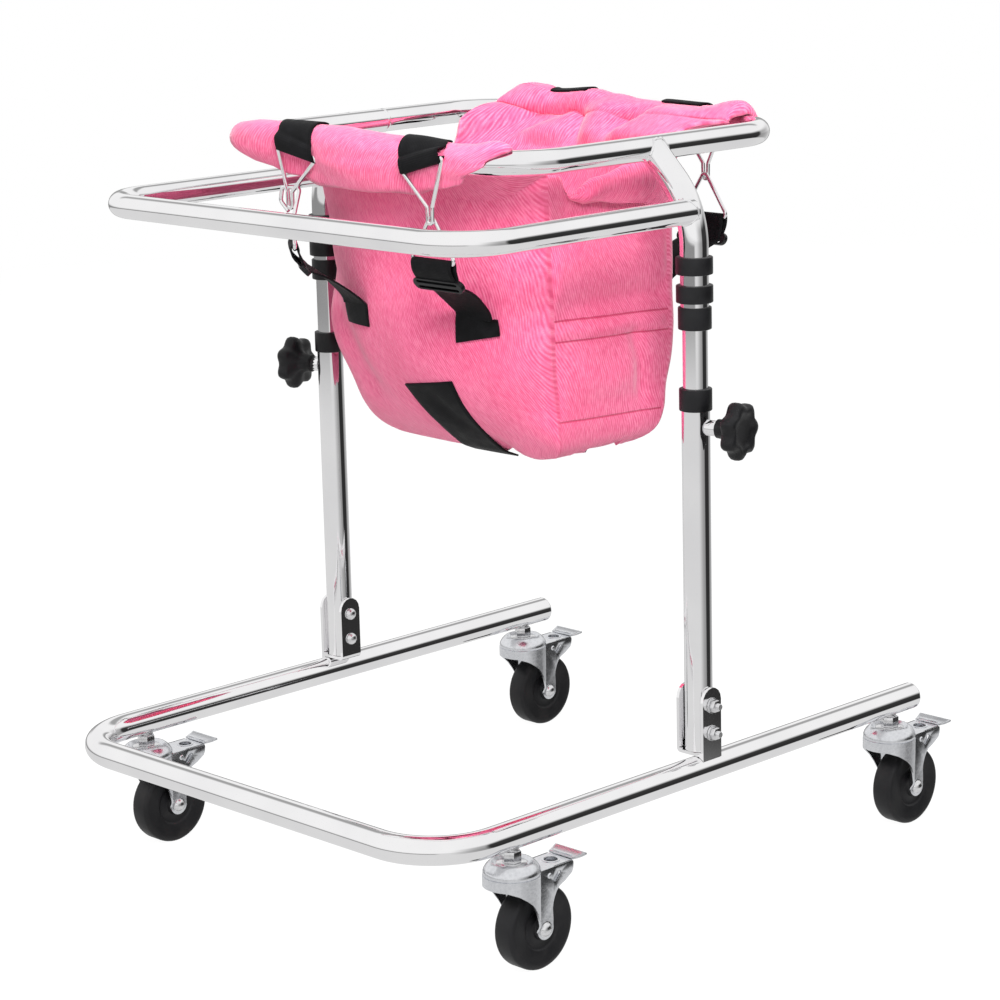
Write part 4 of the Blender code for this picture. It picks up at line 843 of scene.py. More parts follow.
def axle_mesh():
    head = [(0, 19.0), (2.6, 18.8), (4.4, 18.0), (5.6, 16.7), (6.2, 15.6), (6.9, 15.4), (6.9, 15.05)]
    return moved(lathe(mirrored(head + [(4, 15.05)]), 32), AXLE)


def wheel_mesh():
    half = [
        (4.4, 12.7), (8.6, 12.7), (9.4, 12.3), (9.7, 11.2), (10.4, 9.6), (12.5, 9.0), (18.0, 8.8),
        (19.3, 9.1), (19.9, 9.9), (20.8, 10.3), (29, 10.6), (31.5, 10.9), (33.2, 10.9), (34.8, 10.6),
        (36.2, 9.8), (37.1, 8.6), (37.5, 7.0), (37.5, 0.01),
    ]
    return moved(lathe(mirrored(half), 72, ring=True), AXLE)


print("axle", [round(c, 4) for c in AXLE.translation], "m from the stem's axis at the floor")

# %% Caster fork
CAP = [
    (11.7, 98.5), (14.3, 98.5), (15.2, 99.0), (16.4, 100.9), (17.3, 101.8), (18.4, 101.7), (20.3, 100.2),
    (22.4, 98.0), (24.0, 95.4), (24.7, 93.3), (24.7, 90.8), (24.2, 89.8), (23.6, 89.3), (21.6, 89.3),
    (22.3, 92.6), (20.6, 96.6), (18.0, 99.4), (17.2, 99.5), (15.6, 96.5), (11.7, 96.5),
]
CREASE_Y = 14.8
SKIRT_HEM = (
    # how far back from the stem, how low the skirt hangs
    (-24, 81), (-19, 80.8), (-12, 77.5), (-5, 72), (0.5, 67), (5.7, 59.1), (10.2, 49.2), (12.7, 41.5),
    (CREASE_Y, 35.5),
)


def skirt_plan(u):
    """The skirt's outline seen from above, from the right crease round the front to the left."""
    side = 1 if u < 0.5 else -1
    t = u if u < 0.5 else 1 - u
    if t < 0.1:
        share = t / 0.1
        return side * (14.0 + 6.6 * s_curve(share)), CREASE_Y + (11.2 - CREASE_Y) * share
    angle = math.radians(28.5 - 118.5 * (t - 0.1) / 0.4)
    return side * 23.4 * math.cos(angle), 23.4 * math.sin(angle)


def skirt_mesh():
    def place(u, v):
        x, y = skirt_plan(u)
        low = between(y, SKIRT_HEM, smooth=False)
        pull = 1 - 0.035 * (1 - v) * clamp((y + 8) / 20)
        return Vector((x * pull, y, low + (90.2 - low) * v)) * MM

    return thickened(cloth_grid(72, 12, place), -0.0018)


def circle_points(centre, radius, start, end, steps):
    turns = [math.radians(start + (end - start) * i / steps) for i in range(steps + 1)]
    return [(centre[0] + radius * math.cos(turn), centre[1] + radius * math.sin(turn)) for turn in turns]


def slotted(half, radius, steps, height=0):
    """A long hole's outline: half circles this far to the right and left of its middle."""
    right = circle_points((half, height), radius, -90, 90, steps)
    return right + circle_points((-half, height), radius, 90, 270, steps)


SIDE_PLANE = Matrix(((0, 0, 1, 0), (1, 0, 0, 0), (0, 1, 0, 0), (0, 0, 0, 1)))


def cheek_mesh(sign):
    """The flat of a fork leg and the brake housing's side, with the slot and the axle's seat."""
    outline = [(CREASE_Y, 90.0), (CREASE_Y, 35.5)] + circle_points((24, 37.5), 9.5, 193, 372, 18)
    outline += [(33.6, 44), (33.2, 53.3), (34.0, 58.5), (35.6, 63), (38.4, 67.9), (42, 71.5), (48.4, 74.2)]
    outline += [(57.2, 79.6), (58.8, 83), (59.4, 87.0), (59.0, 89.3), (57, 90.2), (36, 90.2)]
    turn = math.sqrt(0.5)
    slot = [(39.0 + (x - y) * turn, 81.0 + (x + y) * turn) for x, y in slotted(3.2, 2.2, 8)]
    sheet = pressing(outline, 1.9, [slot])
    return moved(eased(sheet, 0.0004), Matrix.Translation((sign * 0.01395, 0, 0)) @ SIDE_PLANE)


def housing_mesh():
    """The housing's top plate between the cheeks, with its round window."""
    outline = [(-14.8, 18), (14.8, 18), (14.8, 56.5), (12.5, 57.8), (-12.5, 57.8), (-14.8, 56.5)]
    window = circle_points((0, 46.5), 6.0, 0, 342, 19)
    sheet = pressing(outline, 1.8, [window])
    inner, outer = (circle_points((0, 46.5), radius, 0, 342, 19) for radius in (6.4, 8.0))
    ridge = moved(pressing(outer, 0.8, [inner]), Matrix.Translation((0, 0, 0.001)))
    return moved(joined(sheet, ridge), Matrix.Translation((0, 0, 0.0893)))


def fork_mesh():
    rivet = mirrored([(0, 15.9), (1.6, 15.8), (2.5, 15.0), (2.5, 14.6), (1.9, 14.6)])
    pin = moved(lathe(rivet, 20), standing((1, 0, 0), (0, 0.03, 0.0835)))
    cap = lathe(CAP, 64, ring=True)
    return joined(cap, skirt_mesh(), cheek_mesh(1), cheek_mesh(-1), housing_mesh(), pin)


print("fork skirt hangs to", SKIRT_HEM[-1][1], "mm")

# %% Caster brake


def brake_mesh():
    """The lever between the cheeks, its shoe over the tread, and the wide foot tab behind."""
    lever = [(27.2, 86), (26.6, 81), (30, 79.6), (36.5, 79), (40, 74.4), (44, 74.4), (45.4, 83.6)]
    lever += [(59.6, 85.4), (61.8, 88.4), (61.8, 93.2), (59.6, 93.2), (59.2, 87.3), (38, 86.9)]
    arm = moved(pressing(lever, 21.4), SIDE_PLANE)

    def place(u, v):
        y = 58.6 + 12.9 * v
        half = 14.6 + 3.9 * clamp((v - 0.12) / 0.78) ** 0.8
        return Vector(((2 * u - 1) * half, y, 92.0 + 2.1 * v * v)) * MM

    return joined(arm, eased(thickened(cloth_grid(16, 8, place), 0.0021), 0.0005))


# %% Place the casters
CASTERS = {
    f"{end}_{side}": (sign * RAIL_X, y)
    for end, y in (("front", -0.239), ("rear", 0.268))
    for side, sign in SIDES
}
for corner, (x, y) in CASTERS.items():
    for name, make, material, rides, smooth in (
        ("stem", stem_mesh, BRIGHT_STEEL, "base", 35),
        ("fork", fork_mesh, ZINC, f"swivel_{corner}", 38),
        ("axle", axle_mesh, BRIGHT_STEEL, f"swivel_{corner}", 40),
        ("wheel", wheel_mesh, RUBBER, f"wheel_{corner}", 50),
        ("brake", brake_mesh, ZINC, f"brake_{corner}", 35),
    ):
        made = moved(make(), Matrix.Translation((x, y, 0)))
        add(f"{name}_{corner}", made, material, f"caster_{name}_{corner}", rides, smooth=smooth)
print("casters:", sorted(CASTERS))

# %% [markdown]
# The sling is one bag of cloth. Its front and rear panels curve between two side gussets, its
# floor has two leg holes, and its upper edges roll over the ring's front and rear bars, where
# the cloth is doubled and padded. It is laid as grids that share their edges: a body from the
# middle of the floor to the brim, a roll at the front and the rear, and a cuff folded over at
# each side. Each point also carries the cloth's thickness there, which Solidify reads.

# %% Sling outline
SLING_HALF, FLOOR_Z = 0.139, 0.3903
BAG_ROWS = (
    # height, taper, front seam, front middle, rear seam, rear middle
    (0, 39, -28, -36, 66, 86), (11, 20, -40, -52, 78, 104), (30, 11, -49, -74, 83, 115),
    (55, 8, -53, -96, 83, 121), (86, 3, -61, -111, 83, 125), (120, 0, -65, -117, 82, 128),
    (170, 0, -67, -121, 82, 130), (215, 0, -69, -127, 82, 134), (242, 0, -70, -132, 80, 140),
    (275, 0, -70, -136, 80, 146),
)


def bowed(share):
    """A share across a panel that bows like a half circle: -1 at one edge, 1 at the other."""
    return math.sin((share - 0.5) * math.pi)


def hump(value, centre, width):
    return math.exp(-(((value - centre) / width) ** 2))


def bag_row(height):
    """The bag's outline at a height in millimetres, smooth between the rows above."""
    last = len(BAG_ROWS) - 1
    index = next((i for i in range(last) if height <= BAG_ROWS[i + 1][0]), last - 1)
    a, b = BAG_ROWS[index], BAG_ROWS[index + 1]
    before, after = BAG_ROWS[max(0, index - 1)], BAG_ROWS[min(last, index + 2)]
    t = min(1.0, (height - a[0]) / (b[0] - a[0]))
    values = []
    for column in range(1, 6):
        start = (b[column] - before[column]) / (b[0] - before[0]) * (b[0] - a[0])
        end = (after[column] - a[column]) / (after[0] - a[0]) * (b[0] - a[0])
        if index == 0:
            start = (b[column] - a[column]) * 1.5
        values.append(
            (2 * t**3 - 3 * t**2 + 1) * a[column] + (t**3 - 2 * t**2 + t) * start
            + (3 * t**2 - 2 * t**3) * b[column] + (t**3 - t**2) * end
        )
    return values


def bag_point(part, share, height):
    """A point of the bag. part 0 is the front, 1 the right gusset, 2 the rear, 3 the left."""
    taper, front_seam, front_middle, rear_seam, rear_middle = bag_row(height)
    half = SLING_HALF - taper * MM
    z = FLOOR_Z + height * MM
    if part in (0, 2):
        angle = (share - 0.5) * math.pi
        across = math.sin(angle) * (1 if part == 0 else -1)
        seam, middle = (front_seam, front_middle) if part == 0 else (rear_seam, rear_middle)
        return Vector((half * across, (seam + (middle - seam) * math.cos(angle)) * MM, z))
    first, last = (front_seam, rear_seam) if part == 1 else (rear_seam, front_seam)
    return Vector((half if part == 1 else -half, (first + (last - first) * share) * MM, z))


# How high each part of the bag goes, in millimetres above the floor, by its share across.
FRONT_BRIM = ((0.0, 258), (0.25, 242), (0.78, 242), (1.0, 262))
RIGHT_BRIM = ((0.0, 262), (0.09, 261), (0.17, 240), (0.4, 249), (0.8, 260), (1.0, 263))
REAR_BRIM = ((0.0, 263), (0.25, 250), (0.75, 250), (1.0, 255))
LEFT_BRIM = ((0.0, 255), (0.5, 246), (1.0, 258))


def brim_height(part, share):
    return between(share, (FRONT_BRIM, RIGHT_BRIM, REAR_BRIM, LEFT_BRIM)[part])


PARTS = ((0, 76), (1, 36), (2, 76), (3, 36))  # each part and its columns of quads
COLUMNS = sum(count for _, count in PARTS)


def part_at(u):
    """Which part of the girth a share of it falls on, and how far across that part."""
    column = u * COLUMNS
    for part, count in PARTS:
        if column <= count + 1e-6:
            return part, min(1.0, column / count)
        column -= count
    return 3, 1.0


print("bag columns:", COLUMNS)

# %% [markdown]
# Folds. The bag is pulled by four straps, so creases run from its seams towards them. Each is a
# shallow trough or ridge across a line, and the seams are narrow troughs between puffed strips.

# %% Folds of the bag
# Each crease's start and end on its panel, its depth and its width, in millimetres.
FRONT_CREASES = (
    ((-139, 580), (-70, 440), -6.0, 17), ((139, 540), (55, 468), -4.5, 13),
    ((130, 500), (70, 420), 3.5, 18), ((56, 392), (18, 440), -5.0, 9),
    ((-139, 520), (-100, 400), 4.0, 18), ((100, 630), (10, 590), -4.0, 22),
)
GUSSET_CREASES = ((40, 500), (58, 436), -4.5, 9), ((-50, 478), (20, 452), 2.0, 12)


def crease(x, z, start, end, depth, width):
    """The depth at (x, z) of a trough along a line that fades out towards both its ends."""
    along = Vector((end[0] - start[0], end[1] - start[1]))
    there = Vector((x - start[0], z - start[1]))
    share = there.dot(along) / along.length_squared
    aside = (there - along * share).length
    fade = math.exp(-((max(0.0, abs(share - 0.5) - 0.35) / 0.25) ** 2))
    return depth * fade * math.exp(-((aside / width) ** 2))


def soften(point, part, share, height):
    """A point of the bag with its folds and the small swells that a full bag of cloth shows."""
    outward = Vector((point.x, (point.y - 0.02) * 1.6, 0)).normalized()
    x, y, z = point / MM
    amount = 4.2 * noise.noise(point * 10) + 2.2 * noise.noise(point * 22 + Vector((3, 1, 7)))
    upper = clamp((height - 14) / 50) * clamp((250 - height) / 30)
    own = 0.0
    if part == 0:
        own += 5.0 * hump(x, -5, 55) * hump(z, 505, 50) - 2.5 * hump(x, -20, 60) * hump(z, 440, 22)
        own += sum(crease(x, z, *row) for row in FRONT_CREASES)
        own -= 9.0 * hump(x, 120, 24) * hump(z, 626, 24)
    if part in (1, 3):
        own -= 7.0 * hump(y, -52, 22) * hump(z, 612, 22)
        own += 4.5 * hump(z, 566, 26) - 5.0 * hump(z, 534, 11) + 3.5 * hump(z, 470, 28) * hump(y, 0, 50)
        own += sum(crease(y, z, *row) for row in GUSSET_CREASES)
        fall = (y + 66) * SEAM_FALL
        lines = [(FLOOR_Z + seam) / MM - fall for seam in SEAM_HEIGHTS]
        ends = clamp((78 - y) / 8) * clamp((y + 66) / 6)
        puff = 2.2 * hump(z, (lines[0] + lines[1]) / 2, 7)
        own += ends * (puff - sum(2.4 * hump(z, line, 2.4) for line in lines))
    amount += own * min(1.0, min(share, 1 - share) / 0.07)
    if part == 0 or part == 1:
        edge = (1 - share) if part == 0 else share
        amount -= 1.6 * hump(edge, 0, 0.03) * (1.0 if z < 600 else 0.0)
    point = point + outward * amount * upper * MM
    if part == 0 and height < 24:
        near_floor = 1 - height / 24
        point.z += (7.0 * hump(x, 56, 7) - 3.0 * hump(x, 84, 14)) * near_floor * MM
    return point


def bag_surface(part, share, height):
    return soften(bag_point(part, share, height), part, share, height)


print("creases:", len(FRONT_CREASES), "in front,", len(GUSSET_CREASES), "on each gusset")

# %% Bag body
FLOOR_SHARE = 0.19  # the share of the bag's rows that lie on its floor
SHEET = 4.5  # the cloth with its lining, in millimetres


def bag_place(u, v):
    part, share = part_at(u)
    if v < FLOOR_SHARE:
        rim = bag_surface(part, share, 0)
        spread = v / FLOOR_SHARE
        middle = Vector((0, 0.022, FLOOR_Z))
        point = middle + (rim - middle) * spread
        point.z = FLOOR_Z + (rim.z - FLOOR_Z) * spread**4 + 0.0008 * noise.noise(point * 30)
        return point
    return bag_surface(part, share, (v - FLOOR_SHARE) / (1 - FLOOR_SHARE) * brim_height(part, share))


def bag_chart(u, v):
    """U in metres from the middle of the front panel, V in metres above the floor's edge."""
    part, share = part_at(u)
    height = (v - FLOOR_SHARE) / (1 - FLOOR_SHARE) * brim_height(part, share) * MM
    bow, gusset = SEAM_U * bowed(share), (GUSSET_END - SEAM_U) * share
    return (bow, SEAM_U + gusset, GUSSET_END + SEAM_U + bow, gusset - GUSSET_END)[part], height


def cut_leg_holes(bm):
    """Removes the floor inside two ellipses and rounds the cut to them."""
    for sign in (1, -1):
        centre = Vector((sign * 0.067, 0.024, 0))

        def reach(co):
            return math.hypot((co.x - centre.x) / 0.044, (co.y - centre.y) / 0.05)

        middles = ((face, face.calc_center_median()) for face in bm.faces)
        inside = [face for face, middle in middles if middle.z < FLOOR_Z + 0.0075 and reach(middle) < 1]
        rim = {v for f in inside for v in f.verts}
        bmesh.ops.delete(bm, geom=inside, context="FACES")
        for vert in rim:
            if vert.is_valid and vert.link_faces and vert.co.z < FLOOR_Z + 0.006:
                share = reach(vert.co)
                if 0.6 < share < 1.4:
                    vert.co.xy = centre.xy + (vert.co.xy - centre.xy) / share
    return bm


body = cloth_grid(COLUMNS, 92, bag_place, bag_chart, lambda u, v: SHEET * MM)
bmesh.ops.remove_doubles(body, verts=body.verts, dist=0.00001)
cut_leg_holes(body)
print("bag body faces:", len(body.faces))

# %% [markdown]
# The rolls. Every column starts at the bag's brim, climbs to the inner side of the ring's bar,
# and wraps over its top and down the outside. The laid surface stays just clear of the tube, and
# the padding on it varies: thin on top, where the straps press, and thick below, where the hem
# is turned in. The ends are rounded off, and the near end of the front roll is cut at a slant.

# %% Roll sections
BEND, STRAIGHT = 0.055, RING_X - 0.055
CONTACT = 11.7  # the cloth's inner side from the bar's centre, in millimetres
CLIMB = 0.34  # the share of a roll's rows between the brim and the bar
FIRST, LAST = -95, {-1: 178, 1: 120}  # degrees round the bar from its top
# The rolls' radius above the bar and below it, by the distance along it, in millimetres.
TOP = {
    -1: (
        (-205, 15), (-160, 18), (-128, 21.5), (-33, 21.5), (71, 17.2), (116, 15), (140, 15.8), (171, 20),
        (185, 17),
    ),
    1: (
        (-152, 25), (-128, 28.5), (-110, 27), (-90, 22), (-40, 25.5), (-16, 22.5), (17, 19), (50, 18.5),
        (99, 17.5), (140, 24), (154, 22),
    ),
}
LOW = {
    -1: (
        (-205, 14), (-150, 15), (-110, 18), (-78, 25), (-42, 33), (26, 33.5), (75, 32), (107, 25),
        (131, 18), (178, 14),
    ),
    1: ((-152, 20), (154, 20)),
}
ENDS = {
    # how far along the bar each end goes, by degrees round the bar from its top
    (-1, -1): ((-95, 172), (60, 171), (160, 140)),
    (-1, 1): ((-95, 166), (-30, 172), (20, 178), (90, 158), (150, 138), (178, 130)),
    (1, -1): ((-95, 150), (-20, 148), (90, 132)),
    (1, 1): ((-95, 152), (120, 150)),
}
STRAP_X = {-1: (-0.068, 0.094), 1: (-0.072, 0.076)}  # where the straps press
BRIM_V = 0.245  # the cloth's V at the brim


def bar_point(distance, end):
    """The ring's centre line and outward direction, this far to the right along a bar."""
    beyond = abs(distance) - STRAIGHT
    if beyond <= 0:
        return Vector((distance, BAR_Y[end], RING_Z)), Vector((0, end, 0))
    angle, side = beyond / BEND, math.copysign(1, distance)
    outward = Vector((side * math.sin(angle), end * math.cos(angle), 0))
    return Vector((side * STRAIGHT, BAR_Y[end] - end * BEND, RING_Z)) + outward * BEND, outward


def angle_at(v, end):
    """The degrees round the bar from its top, at a share along the roll."""
    return FIRST + (LAST[end] - FIRST) * max(0.0, v - CLIMB) / (1 - CLIMB)


def end_distance(across, angle, end):
    """The distance along the bar for a share across, where the end's slant is taken in."""
    side = 1 if across > 0 else -1
    full = between(angle, ENDS[end, side])
    return side * MM * (150 * abs(across) + (full - 150) * abs(across) ** 5)


def outer_radius(distance, angle, end, across=0.0):
    """The roll's outside round the bar, in millimetres."""
    place = distance / MM
    top, low = between(place, TOP[end]), between(place, LOW[end])
    side = min(24.0, max(15.5, (top + low) * 0.43))
    pinch = min(1.0, sum(hump(place, x / MM, 38) for x in STRAP_X[end]))

    def pinched(plain, tight):
        return plain + (tight - plain) * pinch

    side = pinched(side, 16.4)
    knots = ((FIRST, 15.0), (-20, top), (10, top), (70, side), (120, 16))
    if end < 0:
        knots = (
            (FIRST, 16.5), (-35, top), (20, top), (88, side), (120, pinched((side + low) / 2, 16.6)),
            (140, pinched(side * 0.3 + low * 0.7, 19.0)), (155, pinched(low, 26)), (166, low), (178, 14.0),
        )
    radius = between(angle, knots)
    rounding = max(0.0, (abs(across) - 0.93) / 0.07)
    return 13.6 + (radius - 13.6) * math.sqrt(max(0.0, 1 - rounding**2))


print("front roll", round(outer_radius(0, 0, -1), 1), "mm from the bar's centre on top")

# %% Rolls over the ring


def flap_fold(x, z):
    """How far the rear flap's inside stands out, in millimetres, from its plain shape."""
    across_first = (x + 42) * 0.44 - (z - 692) * 0.898
    along_first = clamp((x + 150) / 60)
    depth = -15.0 * hump(across_first, 0, 12) * (0.35 + 0.65 * along_first)
    depth *= 1 if x < -10 else hump(x, -10, 12)
    depth += 9.0 * hump(across_first, -30, 17) * (1 if x < -60 else hump(x, -60, 20))
    depth += 6.0 * hump(x, -76, 18) * hump(z, 650, 14)
    depth -= 10.0 * hump(x, -38 - (z - 658) * 0.3, 9) * (1 if z < 680 else hump(z, 680, 8))
    depth += 8.0 * hump(x, -9, 15)
    beside = (x - 66) * 0.589 - (z - 692) * 0.808
    step = 1 / (1 + math.exp(-(beside - 2) / 1.6))
    depth += 9.0 * step * hump(max(0.0, beside - 20), 0, 40) - 8.0 * hump(beside, -8, 9) * hump(z, 672, 26)
    return depth


def roll_place(end):
    part = 0 if end < 0 else 2

    def place(u, v):
        share = u if end < 0 else 1 - u
        across = bowed(u)
        brim = bag_surface(part, share, brim_height(part, share))
        angle = angle_at(v, end)
        centre, outward = bar_point(end_distance(across, angle, end), end)
        turn = math.radians(angle)
        radial = outward * math.sin(turn) + Vector((0, 0, math.cos(turn)))
        landing = centre + radial * CONTACT * MM

        def folded(point, ease):
            depth = max(0.0, flap_fold(point.x / MM, point.z / MM) + 3.0 * noise.noise(point * 20) + 9.0)
            return point + Vector((0, -0.85, 0.52)) * depth * s_curve(ease) * MM

        if v >= CLIMB:
            return folded(landing, max(0.0, 1 - (angle - FIRST) / 80)) if end > 0 else landing
        t = v / CLIMB
        point = brim + (landing - brim) * t
        lean = math.sin(math.pi * t)
        if end < 0:
            return point + Vector((0, 0.004, -0.002)) * lean
        corner = max(0.0, (abs(across) - 0.55) / 0.45) ** 2
        point += Vector((0, -0.01, 0.008)) * lean * corner
        return folded(point, min(1.0, t / 0.5))

    return place


def roll_thick(end):
    def thick(u, v):
        across = bowed(u)
        if v < CLIMB:
            t = v / CLIMB
            landed = outer_radius(end_distance(across, FIRST, end), FIRST, end, across) - CONTACT
            return (SHEET + (landed - SHEET) * t**3) * MM
        angle = angle_at(v, end)
        distance = end_distance(across, angle, end)
        amount = outer_radius(distance, angle, end, across) - CONTACT
        lump = 0.9 * noise.noise(Vector((distance * 30, v * 4, end)))
        return max(2.0, amount + lump) * MM

    return thick


def roll_chart(end):
    def chart(u, v):
        across = bowed(u)
        flat = v / CLIMB * 0.045 if v < CLIMB else 0.045 + (v - CLIMB) / (1 - CLIMB) * 0.105
        return (SEAM_U * across if end < 0 else GUSSET_END + SEAM_U * (1 - across)), BRIM_V + flat

    return chart


rolls = [cloth_grid(76, 62, roll_place(end), roll_chart(end), roll_thick(end)) for end in (-1, 1)]
print("roll faces:", [len(roll.faces) for roll in rolls])

# %% [markdown]
# The cuffs. Each gusset's top edge is folded outwards and hangs down as a soft band. It starts
# as nothing near the front seam and is deepest at the rear, while its upper edge climbs.

# %% Side cuffs
CUFF_START = 0.15  # how far along the gusset's brim a cuff starts
CUFF_FOLD = 0.3  # the share of a cuff's rows that turn over the brim


def cuff_place(sign):
    def place(u, v):
        part = 1 if sign > 0 else 3
        share = u if sign > 0 else 1 - u
        base = bag_surface(part, share, brim_height(part, share))
        grow = clamp((u - CUFF_START) / 0.1)
        drop = (2.0 + 37.0 * max(0.0, (u - CUFF_START) / 0.72)) * grow - 6.0 * hump(u, 1.0, 0.08)
        out = (2.0 + 3.5 * grow) * grow
        if v < CUFF_FOLD:
            turn = math.pi * v / CUFF_FOLD
            fold = (sign * out / 2 * (1 - math.cos(turn)), 0, 2.0 * grow * math.sin(turn))
            return base + Vector(fold) * MM
        t = (v - CUFF_FOLD) / (1 - CUFF_FOLD)
        swell = 8.0 * grow * (0.7 + 0.3 * math.sin(u * 8 + 1))
        belly = swell * math.sin(math.pi * min(1.0, t * 1.08) ** 0.8)
        return base + Vector((sign * (out + belly - 1.2 * t * grow), 0, -drop * t)) * MM

    return place


def cuff_chart(sign):
    return lambda u, v: (sign * (SEAM_U + 0.15 * u), BRIM_V + 0.05 * v)


def cuff_thick(u, v):
    return (1.2 + (SHEET - 1.2) * clamp((u - CUFF_START) / 0.2) if v > 0 else SHEET) * MM


cuffs = [cloth_grid(36, 22, cuff_place(sign), cuff_chart(sign), cuff_thick) for sign in (1, -1)]
print("cuff faces:", [len(cuff.faces) for cuff in cuffs])

# %% Join the sling
sling = joined(body, *rolls, *cuffs)
bmesh.ops.remove_doubles(sling, verts=sling.verts, dist=0.00002)
bmesh.ops.recalc_face_normals(sling, faces=sling.faces)
walls = [f for f in sling.faces if f.calc_center_median().z < FLOOR_Z + 0.15 and abs(f.normal.x) > 0.8]
if sum(f.normal.x * f.calc_center_median().x for f in walls) < 0:
    bmesh.ops.reverse_faces(sling, faces=sling.faces)
cloth_area = sum(f.calc_area() for f in sling.faces)
piece = add("sling", sling, CLOTH, "sling_seat", smooth=180)
THICKEST = 0.024
group = piece.vertex_groups.new(name="thickness")
for vert, stored in zip(piece.data.vertices, piece.data.attributes["thick"].data):
    group.add([vert.index], min(1.0, stored.value / THICKEST), "REPLACE")
solidify = piece.modifiers.new("cloth", "SOLIDIFY")
solidify.thickness = THICKEST
solidify.offset = -1
solidify.vertex_group = "thickness"
print("cloth area", round(cloth_area, 4), "m2, faces", len(piece.data.polygons))

# %% [markdown]
# Straps. Webbing is a flat ribbon laid as a grid along its path. The UV map is in metres, so the
# weave keeps its scale, and Solidify gives it its thickness. The short straps lie over the rolls
# and their hems, which hold the hooks' bars, hang a little askew because the bag pulls outwards.

# %% Ribbon helper
STRAP_WIDTH = 0.048


def ribbon(path, sideways, width):
    """A ribbon along a path. sideways gives its direction across, at each share along."""
    for _ in range(3):
        finer = [path[0]]
        for a, b in zip(path, path[1:]):
            finer += [a.lerp(b, 0.25), a.lerp(b, 0.75)]
        path = finer + [path[-1]]
    lengths = [0.0]
    for a, b in zip(path, path[1:]):
        lengths.append(lengths[-1] + (b - a).length)
    last = len(path) - 1
    return cloth_grid(
        14,
        last,
        lambda u, v: path[round(v * last)] + Vector(sideways(v)).normalized() * width * (u - 0.5),
        lambda u, v: (u * width, lengths[round(v * last)]),
    )


HOOKS = {
    # name: end, X of the strap's top and hem, the hem's tilt, X of the hook's neck, the ring and
    # the patch on the bag, the ring's turn in degrees, and the slider's lean
    "front_right": (-1, 0.086, 0.099, 0.27, 0.1015, 0.1, 0.084, 0, 0.55),
    "front_left": (-1, -0.075, -0.062, -0.18, -0.08, -0.082, -0.062, -38, 0.75),
    "rear_right": (1, 0.074, 0.078, 0.15, 0.086, 0.088, 0.08, 0, 0.45),
    "rear_left": (1, -0.07, -0.074, -0.15, -0.086, -0.088, -0.08, 0, 0.45),
}
# The hook's bar in the strap's hem: how far out of the ring's bar and below it, and the hem's
# points round it in millimetres.
HEM_OUT, HEM_DROP = 0.0192, 0.0012
HEM_LOOP = ((3.0, 7.5), (3.7, 1.0), (2.7, -3.3), (0, -4.3), (-2.7, -3.3), (-3.3, 1.2))
HEM_START = 0.6  # the share of the strap before its hem


# %% Straps sewn to the rolls
for name, (end, top_x, hem_x, tilt, *_) in HOOKS.items():

    def strap_place(u, v):
        across = STRAP_WIDTH * (u - 0.5)
        lift = tilt * across
        last_angle = 60 - math.degrees(lift / 0.015)
        x = top_x + (hem_x - top_x) * min(1.0, v / 0.75) ** 1.5 + across
        first_angle = -26 if end < 0 else -20
        angle = first_angle + (last_angle - first_angle) * min(1.0, v / HEM_START)
        turn = math.radians(angle)
        radius = (outer_radius(x, angle, end) + 1.5) * MM
        spot = (radius * math.sin(turn), radius * math.cos(turn))
        if v > HEM_START:
            route = [spot] + [(HEM_OUT + out * MM, lift - HEM_DROP + up * MM) for out, up in HEM_LOOP]
            along = (v - HEM_START) / (1 - HEM_START) * len(HEM_LOOP)
            step, share = divmod(min(along, len(HEM_LOOP) - 0.001), 1)
            (a, b), (c, d) = route[int(step)], route[int(step) + 1]
            spot = (a + (c - a) * share, b + (d - b) * share)
        return Vector((x, BAR_Y[end] + end * spot[0], RING_Z + spot[1]))

    strap = cloth_grid(12, 50, strap_place, lambda u, v: (u * STRAP_WIDTH, v * 0.07))
    bmesh.ops.recalc_face_normals(strap, faces=strap.faces)
    if sum(f.normal.z for f in strap.faces if f.calc_center_median().z > RING_Z + 0.012) < 0:
        bmesh.ops.reverse_faces(strap, faces=strap.faces)
    add(f"top_strap_{name}", strap, WEBBING, wall=1.5, inwards=0, smooth=60)
print("straps at", sorted(HOOKS))

# %% [markdown]
# Hooks and rings are bent from 3.8 mm wire. Each hook has a wide bar in its strap's hem, two
# legs that close to a narrow neck, and a loop below that holds a ring. The front left ring has
# sprung open, and its free end curls. A webbing strap goes from the ring through a slider and
# down to the bag.

# %% Wire hooks and rings
WIRE = 0.0019  # radius
RING_BAR_Z, SLIDER_Z = RING_Z - 0.0875, RING_Z - 0.1065
NECK = ((-3.1, 38.5), (-2.7, 53), (2.7, 53), (3.1, 38.5))  # across it, and below the ring, in mm


def swung(x, end, turn):
    """Where a strap ring hangs: its middle's X, and its turn about the vertical in degrees."""
    stand = Matrix.Translation((x, BAR_Y[end] + end * 0.01, 0))
    return stand @ Matrix.Rotation(math.radians(turn), 4, "Z")


